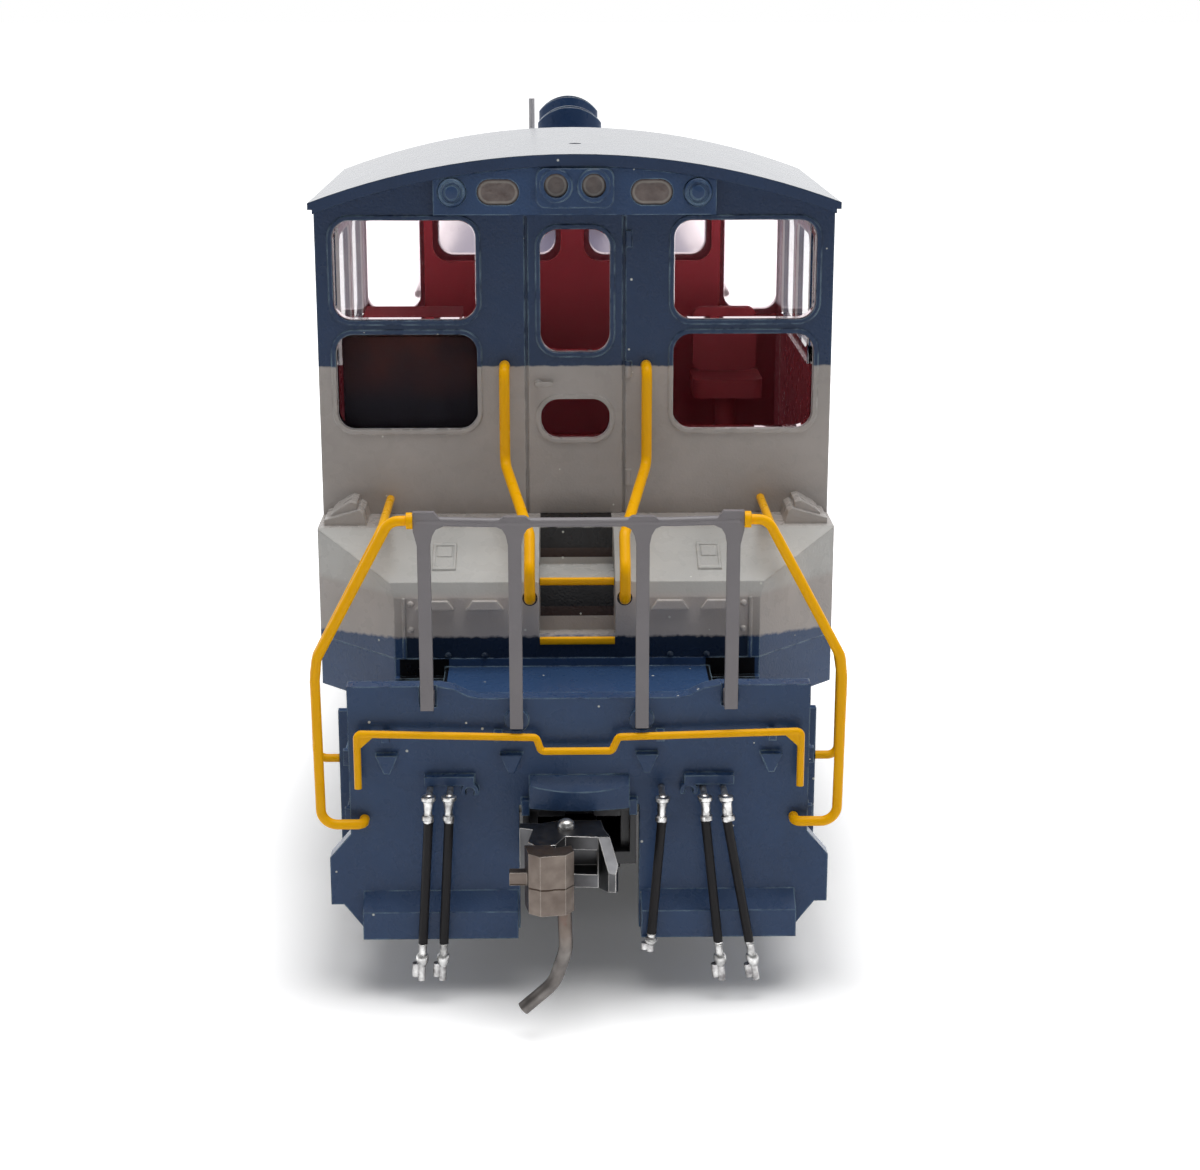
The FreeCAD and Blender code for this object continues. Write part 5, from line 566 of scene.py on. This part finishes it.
cabinet = block("control_cabinet", CABINET_LOW, CABINET_HIGH)
pick(cabinet, edges=lambda a, b: True)
bpy.ops.mesh.bevel(offset=CABINET_ROUNDING * MM, segments=2, affect="EDGES")
pick(cabinet, faces=lambda face: face.normal.y > 0.99 and face.area > 1e-5)
bpy.ops.mesh.inset(thickness=PANEL_MARGIN * MM)
bpy.ops.mesh.extrude_region_shrink_fatten(TRANSFORM_OT_shrink_fatten={"value": PANEL_DEPTH * MM})
bpy.ops.mesh.inset(thickness=PANEL_LIP * MM)
cabinet_black = Finish("cabinet_black", Specular_IOR_Level=0.06, Roughness=0.6)
where, (x, y, z) = cabinet_black.place()
mottled = cabinet_black.noise(where, 3 * MM, detail=3.0).stretched(1.6, 0.3)
brown_towards_top = z.rise(BROWN_START * MM, BROWN_WIDTH * MM) * mottled
cabinet_black.feed("Base Color", cabinet_black.blend(brown_towards_top, CABINET_BLACK, CABINET_BROWN))
finished(cabinet, cabinet_black, "black_plastic")

# ---------------------------------------------------------------- cab glazing
# One clear styrene moulding for each cab wall, plugged into its openings from inside. The panes at
# the hood end are hazed on the inside, and their plugs carry a painted glow.
CLEAR_TINT, HAZE_TINT = rgb(0.97, 0.965, 0.97), rgb(0.84, 0.76, 0.79)
HAZE_PAINTED_GLOW = rgb(0.16, 0.122, 0.122)
HAZED_ALONG, PLUG_FROM, GLAZING_GAP = (-32.5, -31.0), -31.86, 0.02
clear = Finish("clear_styrene", Transmission_Weight=1.0, IOR=1.05, Specular_IOR_Level=0.5,
               Emission_Strength=1.0)
where, (x, y, z) = clear.place()
hazed = y.between(*in_mm(HAZED_ALONG))
smear = clear.noise(where, 3 * MM, detail=4.0).stretched(1.5, 0.4)
# The plugs of the hazed panes get a painted glow.
painted_glow = clear.blend(hazed * (y > PLUG_FROM * MM), rgb(0, 0, 0), HAZE_PAINTED_GLOW)
clear.feed("Base Color", clear.blend(hazed, CLEAR_TINT, HAZE_TINT))
clear.feed("Emission Color", painted_glow)
clear.feed("Roughness", hazed * 0.45 + smear * 0.05 + 0.01)

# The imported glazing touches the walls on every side, so this copy of it is a hair thinner all over.
packed_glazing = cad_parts["cab_windows"]
bpy.ops.object.select_all(action="DESELECT")
packed_glazing.select_set(True)
bpy.context.view_layer.objects.active = packed_glazing
bpy.ops.object.duplicate(linked=False)
glazing = bpy.context.object
glazing.name = "cab_glazing"
glazing.parent = None
glazing.matrix_world = Matrix.Identity(4)
glazing.data.materials.clear()
glazing.data.materials.append(clear.material)
bpy.ops.object.mode_set(mode="EDIT")
bpy.ops.mesh.select_all(action="SELECT")
bpy.ops.mesh.remove_doubles(threshold=0.001 * MM)
bpy.ops.transform.shrink_fatten(value=-GLAZING_GAP * MM, use_even_offset=True)
bpy.ops.object.mode_set(mode="OBJECT")
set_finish(glazing, "clear_plastic")
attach(glazing, "chassis")
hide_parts("cab_windows")

# ---------------------------------------------------------------- lamp lenses
# The lamp and number windows are clear plugs set over brown plastic. A pale ring near each rim is a
# painted highlight, and a dark crescent at the foot is painted shade.
LENS_DARK, LENS_PALE = rgb(0.060, 0.032, 0.026), rgb(0.155, 0.115, 0.100)
RIM_PAINTED_LIGHT, FOOT_PAINTED_SHADE = rgb(0.42, 0.39, 0.34), rgb(0.03, 0.022, 0.02)
ROUND_X, ROUND_Z, ROUND_RADIUS = 1.25, 48.95, 0.8
OVAL_X, OVAL_Z, OVAL_STRAIGHT, OVAL_RADIUS = 5.1, 48.5, 0.55, 0.85
HOOD_LAMPS_BELOW, HOOD_LAMP_RISE = 45.0, 10.45
RIM_FROM, RIM_TO, RIM_RATE, RIM_GAIN = 0.66, 0.9, 6.0, 8.0
FOOT_FROM, FOOT_RATE, FOOT_RISE, FOOT_WIDTH = 0.84, 9.0, 0.4, 1.2
lens = Finish("lamp_lens", Specular_IOR_Level=0.4, Coat_Weight=0.25, Coat_Roughness=0.06)
where, (x, y, z) = lens.place()
across = x.absolute()
lamp_z = z + (z < HOOD_LAMPS_BELOW * MM) * (HOOD_LAMP_RISE * MM)
round_out = distance(across - ROUND_X * MM, lamp_z - ROUND_Z * MM) / (ROUND_RADIUS * MM)
past_straight = ((across - OVAL_X * MM).absolute() - OVAL_STRAIGHT * MM).math("MAXIMUM", 0.0)
above_middle = z - OVAL_Z * MM
oval_out = distance(past_straight, above_middle) / (OVAL_RADIUS * MM)
outward = round_out.math("MINIMUM", oval_out)
cloud = lens.noise(where, 0.8 * MM, detail=4.0).stretched(2.2, 0.65)
# A pale ring inside the rim is a painted highlight; the dark foot below is painted shade.
rim_light_share = ((outward - RIM_FROM) * RIM_RATE).clamped() * (RIM_TO - outward).clamped() * RIM_GAIN
foot = ((outward - FOOT_FROM) * FOOT_RATE).clamped()
foot = foot * (FOOT_RISE - above_middle / (FOOT_WIDTH * MM)).clamped()
tone = lens.blend(cloud, LENS_DARK, LENS_PALE)
tone = lens.blend(rim_light_share.clamped() * 0.6, tone, RIM_PAINTED_LIGHT)
lens.feed("Base Color", lens.blend(foot, tone, FOOT_PAINTED_SHADE))
lens.feed("Roughness", cloud * 0.1 + 0.08)
lens.bump(soft_edges(lens, 0.2 * MM), cloud, 0.04 * MM, 0.5)
dress("lamp_lenses", lens)

# ---------------------------------------------------------------- lamp blanks
# The two outer lamps of the board over the rear door are blanked: a turned styrene disc with a
# raised rim and a raised middle is cemented in each bezel and painted with the board.
LAMP_BLANK = ((0.92, 0.0), (0.92, 0.16), (0.84, 0.24), (0.74, 0.24), (0.68, 0.12), (0.52, 0.12),
              (0.46, 0.22), (0.2, 0.26))
BLANK_X, BLANK_Y, BLANK_Z = 8.15, -56.9, 48.5
REARWARDS, DOWNWARDS, UPWARDS = (0, -1, 0), (0, 0, -1), (0, 0, 1)


def turned(name, rings, foot, run, tilt=0.0, sides=20):
    """A body of revolution: a disc drawn out through rings of (radius, distance) in millimetres."""
    bpy.ops.object.select_all(action="DESELECT")
    radius, start = rings[0]
    upright = run[1] == 0
    spot = Vector(foot) + Vector(run) * start
    bpy.ops.mesh.primitive_circle_add(vertices=sides, radius=radius * MM, fill_type="NGON",
                                      location=spot * MM,
                                      rotation=(0, 0, 0) if upright else (math.pi / 2, 0, 0))
    piece = bpy.context.object
    piece.name = name
    bpy.ops.object.transform_apply(location=True, rotation=True, scale=True)
    bpy.ops.object.mode_set(mode="EDIT")
    bpy.ops.mesh.select_all(action="SELECT")
    before = radius
    for radius, distance_out in rings[1:]:
        length = distance_out - start
        step = Vector(run) * length + Vector((tilt * length, 0, 0))
        spot += step
        start = distance_out
        bpy.ops.mesh.extrude_region_move(TRANSFORM_OT_translate={"value": step * MM})
        factor = radius / before
        before = radius
        size = (factor, factor, 1) if upright else (factor, 1, factor)
        bpy.ops.transform.resize(value=size, center_override=spot * MM)
    return piece


for side, word in ((-1, "left"), (1, "right")):
    blank = turned(f"lamp_blank_{word}", LAMP_BLANK, (side * BLANK_X, BLANK_Y, BLANK_Z), REARWARDS,
                   sides=32)
    finished(blank, blue_paint, "blue_paint")

# ---------------------------------------------------------------- base rivets
# Rivet heads moulded on the front of the cab base, in two columns and a row under the vents. They
# take the paint of the base.
RIVET = ((0.22, -0.05), (0.22, 0.02), (0.19, 0.09), (0.13, 0.14), (0.05, 0.16))
FIRST_RIVET = (-10.9, -65.6, 22.7)
OTHER_RIVETS = ((0, -1.75), (21.8, 0), (21.8, -1.75), (2.4, -3.5), (4.8, -3.5), (17.0, -3.5),
                (19.4, -3.5))


def copy_of(piece, name, body="chassis", shift=(0, 0, 0), turn=0.0):
    """Another of a finished piece, turned about the model's middle and moved by millimetres."""
    bpy.ops.object.select_all(action="DESELECT")
    piece.select_set(True)
    bpy.context.view_layer.objects.active = piece
    bpy.ops.object.duplicate(linked=False)
    other = bpy.context.object
    other.name = name
    other.parent = None
    other.matrix_world = Matrix.Translation(Vector(shift) * MM) @ Matrix.Rotation(turn, 4, "Z")
    bpy.ops.object.transform_apply(location=True, rotation=True, scale=True)
    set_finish(other, piece["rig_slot"])
    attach(other, body)


rivet = turned("base_rivet_1", RIVET, FIRST_RIVET, REARWARDS, sides=12)
finished(rivet, base_paint, "grey_paint")
for number, (over, up) in enumerate(OTHER_RIVETS, 2):
    copy_of(rivet, f"base_rivet_{number}", shift=(over, 0, up))

# ---------------------------------------------------------------- railings and bright work
# End railings and hood rails are moulded in grey acetal, corner rails, door rails and uncoupling
# levers in yellow; all press into holes. The mast is grey wire and the bell is turned brass.
rail_grey = moulded("grey_delrin", rgb(0.20, 0.185, 0.195), rgb(0.27, 0.255, 0.265), 0.42)
yellow = moulded("yellow_delrin", rgb(1.0, 0.46, 0.0), rgb(1.0, 0.58, 0.01), 0.3,
                 depth=0.01 * MM, sheen=0.12)
aerial_grey = moulded("aerial_grey", rgb(0.62, 0.61, 0.62), rgb(0.72, 0.71, 0.72), 0.5)
for finish, nodes in ((rail_grey, ("end_railings", "hood_handrails")),
                      (yellow, ("corner_handrails", "door_handrails", "cut_levers")),
                      (aerial_grey, ("antenna",)), (brass, ("bell",))):
    for node in nodes:
        dress(node, finish)

# ---------------------------------------------------------------- stair nosings
# The two treads at the rear door have yellow safety edges: thin moulded strips, cemented to the
# front of each tread level with its top.
NOSING_HALF, NOSING_HEIGHT, NOSING_OUT, NOSING_IN, NOSING_PROUD = 2.46, 0.45, 0.12, 0.25, 0.04
TREAD_EDGES = ((-65.6, 20.35), (-63.8, 23.9))
for number, (tread_y, tread_z) in enumerate(TREAD_EDGES, 1):
    nosing = block(f"stair_nosing_{number}",
                   (-NOSING_HALF, tread_y - NOSING_OUT, tread_z - NOSING_HEIGHT),
                   (NOSING_HALF, tread_y + NOSING_IN, tread_z + NOSING_PROUD))
    pick(nosing, edges=lambda a, b: abs(a.y - b.y) < 1e-7 and abs(a.z - b.z) < 1e-7)
    bpy.ops.mesh.bevel(offset=0.1 * MM, segments=3, affect="EDGES")
    finished(nosing, yellow, "yellow_paint")

# ---------------------------------------------------------------- hoses
# Five moulded rubber hoses hang from each end plate. Each is plugged into a turned union at the top
# and carries a coupling at the foot, and silver paint is brushed on both ends.
HOSE_BLACK, HOSE_WEAR_AND_HIGHLIGHT = rgb(0.009, 0.009, 0.010), rgb(0.03, 0.026, 0.03)
SILVER_DARK, SILVER_BRIGHT = rgb(0.20, 0.19, 0.195), rgb(0.86, 0.86, 0.85)
SILVER_ABOVE, SILVER_BELOW = 12.15, 4.05
BRAKE_HOSE_ACROSS, BRAKE_HOSE_SHORTER = (4.0, 5.3), 0.6
hoses = Finish("hose_black_and_silver", Specular_IOR_Level=0.15)
where, (x, y, z) = hoses.place()
rounded = soft_edges(hoses, 0.06 * MM)
ragged_z = z + (hoses.noise(where, 0.4 * MM, detail=3.0) - 0.5) * (0.3 * MM)
brake_hose = x.absolute().between(*in_mm(BRAKE_HOSE_ACROSS))
silver_below = brake_hose * (BRAKE_HOSE_SHORTER * MM) + SILVER_BELOW * MM
silvered = ((ragged_z > SILVER_ABOVE * MM) + (ragged_z < silver_below)).clamped()
streak = hoses.noise(where, 0.5 * MM, detail=3.0).stretched(2.4, 0.75)
# Paler patches are wear; paler edges are partly wear and partly a painted highlight.
wear_and_edge_highlight = (edge_share(hoses, rounded) * 0.5 + hoses.noise(where, 2 * MM) * 0.4).clamped()
black_tone = hoses.blend(wear_and_edge_highlight, HOSE_BLACK, HOSE_WEAR_AND_HIGHLIGHT)
bright = hoses.blend(streak, SILVER_DARK, SILVER_BRIGHT)
hoses.feed("Base Color", hoses.blend(silvered, black_tone, bright))
hoses.feed("Metallic", silvered * 0.85)
hoses.feed("Roughness", 0.42 - silvered * 0.14)
hoses.bump(rounded, hoses.noise(where, 0.2 * MM), 0.02 * MM, 0.4)
dress("brake_hoses", hoses)

silver = bare_metal("silver_paint", rgb(0.84, 0.84, 0.83), rgb(0.10, 0.095, 0.095), 0.3,
                    bright_edge=0.7, blotch=0.5 * MM)
UNION = ((0.30, -0.36), (0.46, -0.32), (0.46, -0.10), (0.37, -0.04), (0.31, 0.14), (0.27, 0.5),
         (0.24, 0.62), (0.24, 0.86), (0.35, 0.92), (0.35, 1.18), (0.30, 1.24))
COUPLING = ((0.24, 0.0), (0.31, 0.05), (0.25, 0.16), (0.25, 0.7), (0.36, 0.8), (0.41, 1.0),
            (0.37, 1.3), (0.25, 1.5), (0.15, 2.4), (0.08, 2.55))
COUPLING_LENGTH, UNION_SET, HOSE_SET, HOSE_LINE, HOSE_SIDES = 2.5, 0.2, 0.8, -77.45, 16
HOSE_PLACES = ((-9.25, 13.7, -9.8, 1.6, 2.5), (-8.0, 13.7, -8.5, 1.6, 2.5),
               (5.1, 13.55, 4.47, 3.45, 1.2), (7.68, 13.6, 8.65, 1.45, 2.5),
               (8.95, 13.6, 10.6, 1.45, 2.5))
for number, (top_x, top_z, low_x, low_z, coupling) in enumerate(HOSE_PLACES, 1):
    lean = (low_x - top_x) / (top_z - HOSE_SET - low_z - coupling)
    union = turned(f"hose_union_{number}", UNION, (top_x, HOSE_LINE, top_z - UNION_SET), DOWNWARDS,
                   lean, HOSE_SIDES)
    finished(union, silver, "hose_rubber")
    copy_of(union, f"front_hose_union_{number}", turn=math.pi)
    share = coupling / COUPLING_LENGTH
    rings = [(radius, out * share) for radius, out in COUPLING]
    gladhand = turned(f"gladhand_{number}", rings, (low_x, HOSE_LINE, low_z + coupling), DOWNWARDS,
                      lean, HOSE_SIDES)
    finished(gladhand, silver, "hose_rubber")
    copy_of(gladhand, f"front_gladhand_{number}", turn=math.pi)

# ---------------------------------------------------------------- couplers
# The heads are dark zinc castings and the knuckles browned ones, hinged on a peened rivet. Each
# trip pin was bent and rubbed bare lower down, and the joint of the mould shows as a dark line.
CAST_LIGHT, CAST_DARK = rgb(0.165, 0.138, 0.120), rgb(0.085, 0.066, 0.057)
BARE_LIGHT, BARE_DARK = rgb(0.20, 0.185, 0.175), rgb(0.045, 0.04, 0.04)
SCAR_TONE, SEAM_TONE = rgb(0.15, 0.055, 0.04), rgb(0.02, 0.012, 0.008)
EDGE_WEAR_AND_HIGHLIGHT_TONE = rgb(0.62, 0.58, 0.53)
BARE_BELOW, BARE_FADE, SCAR_Z, SCAR_REACH = 7.2, 1.4, 7.7, 0.9
SEAM_Z, SEAM_HALF = 10.2, 0.05
dark_cast = bare_metal("dark_cast_zinc", rgb(0.10, 0.10, 0.105), rgb(0.05, 0.05, 0.052), 0.34,
                       bright_edge=0.9)
bronze = Finish("browned_zinc", Metallic=1.0)
where, (x, y, z) = bronze.place()
rounded = soft_edges(bronze, 0.08 * MM)
patch = bronze.noise(where, 1.2 * MM, detail=4.0).stretched(1.6, 0.4)
tone = bronze.blend(patch, CAST_LIGHT, CAST_DARK)
bare = ((BARE_BELOW * MM - z) / (BARE_FADE * MM)).clamped()
tone = bronze.blend(bare, tone, bronze.blend(patch, BARE_LIGHT, BARE_DARK))
scar = (1.0 - (z - SCAR_Z * MM).absolute() / (SCAR_REACH * MM)).clamped()
scar = scar * bronze.noise(where, 1 * MM).stretched(5.0, 2.2)
tone = bronze.blend(scar * 0.6, tone, SCAR_TONE)
ragged = (bronze.noise(where, 0.6 * MM, detail=3.0) - 0.5) * (0.4 * MM)
seam = (z + ragged * 0.3 - SEAM_Z * MM).absolute() < SEAM_HALF * MM
tone = bronze.blend(seam * 0.85, tone, SEAM_TONE)
# Edges pale partly from rubbing and partly as a painted highlight.
edge_wear_and_highlight = edge_share(bronze, rounded) * 0.35
bronze.feed("Base Color", bronze.blend(edge_wear_and_highlight, tone, EDGE_WEAR_AND_HIGHLIGHT_TONE))
bronze.roughen(where, 0.6 * MM, 0.28, 0.25)
bronze.bump(rounded, bronze.noise(where, 0.3 * MM), 0.02 * MM, 0.3)
for end in ("rear_", "front_"):
    dress(end + "coupler", dark_cast)
    dress(end + "knuckle", bronze)

PIN_HEAD = ((0.54, -0.05), (0.54, 0.16), (0.50, 0.32), (0.38, 0.44), (0.18, 0.50))
PIN_FOOT = (-0.85, -78.3, 12.1)
pin_head = turned("rear_coupler_rivet", PIN_HEAD, PIN_FOOT, UPWARDS)
finished(pin_head, silver, "coupler_bronze", "rear_coupler")
copy_of(pin_head, "front_coupler_rivet", "front_coupler", turn=math.pi)
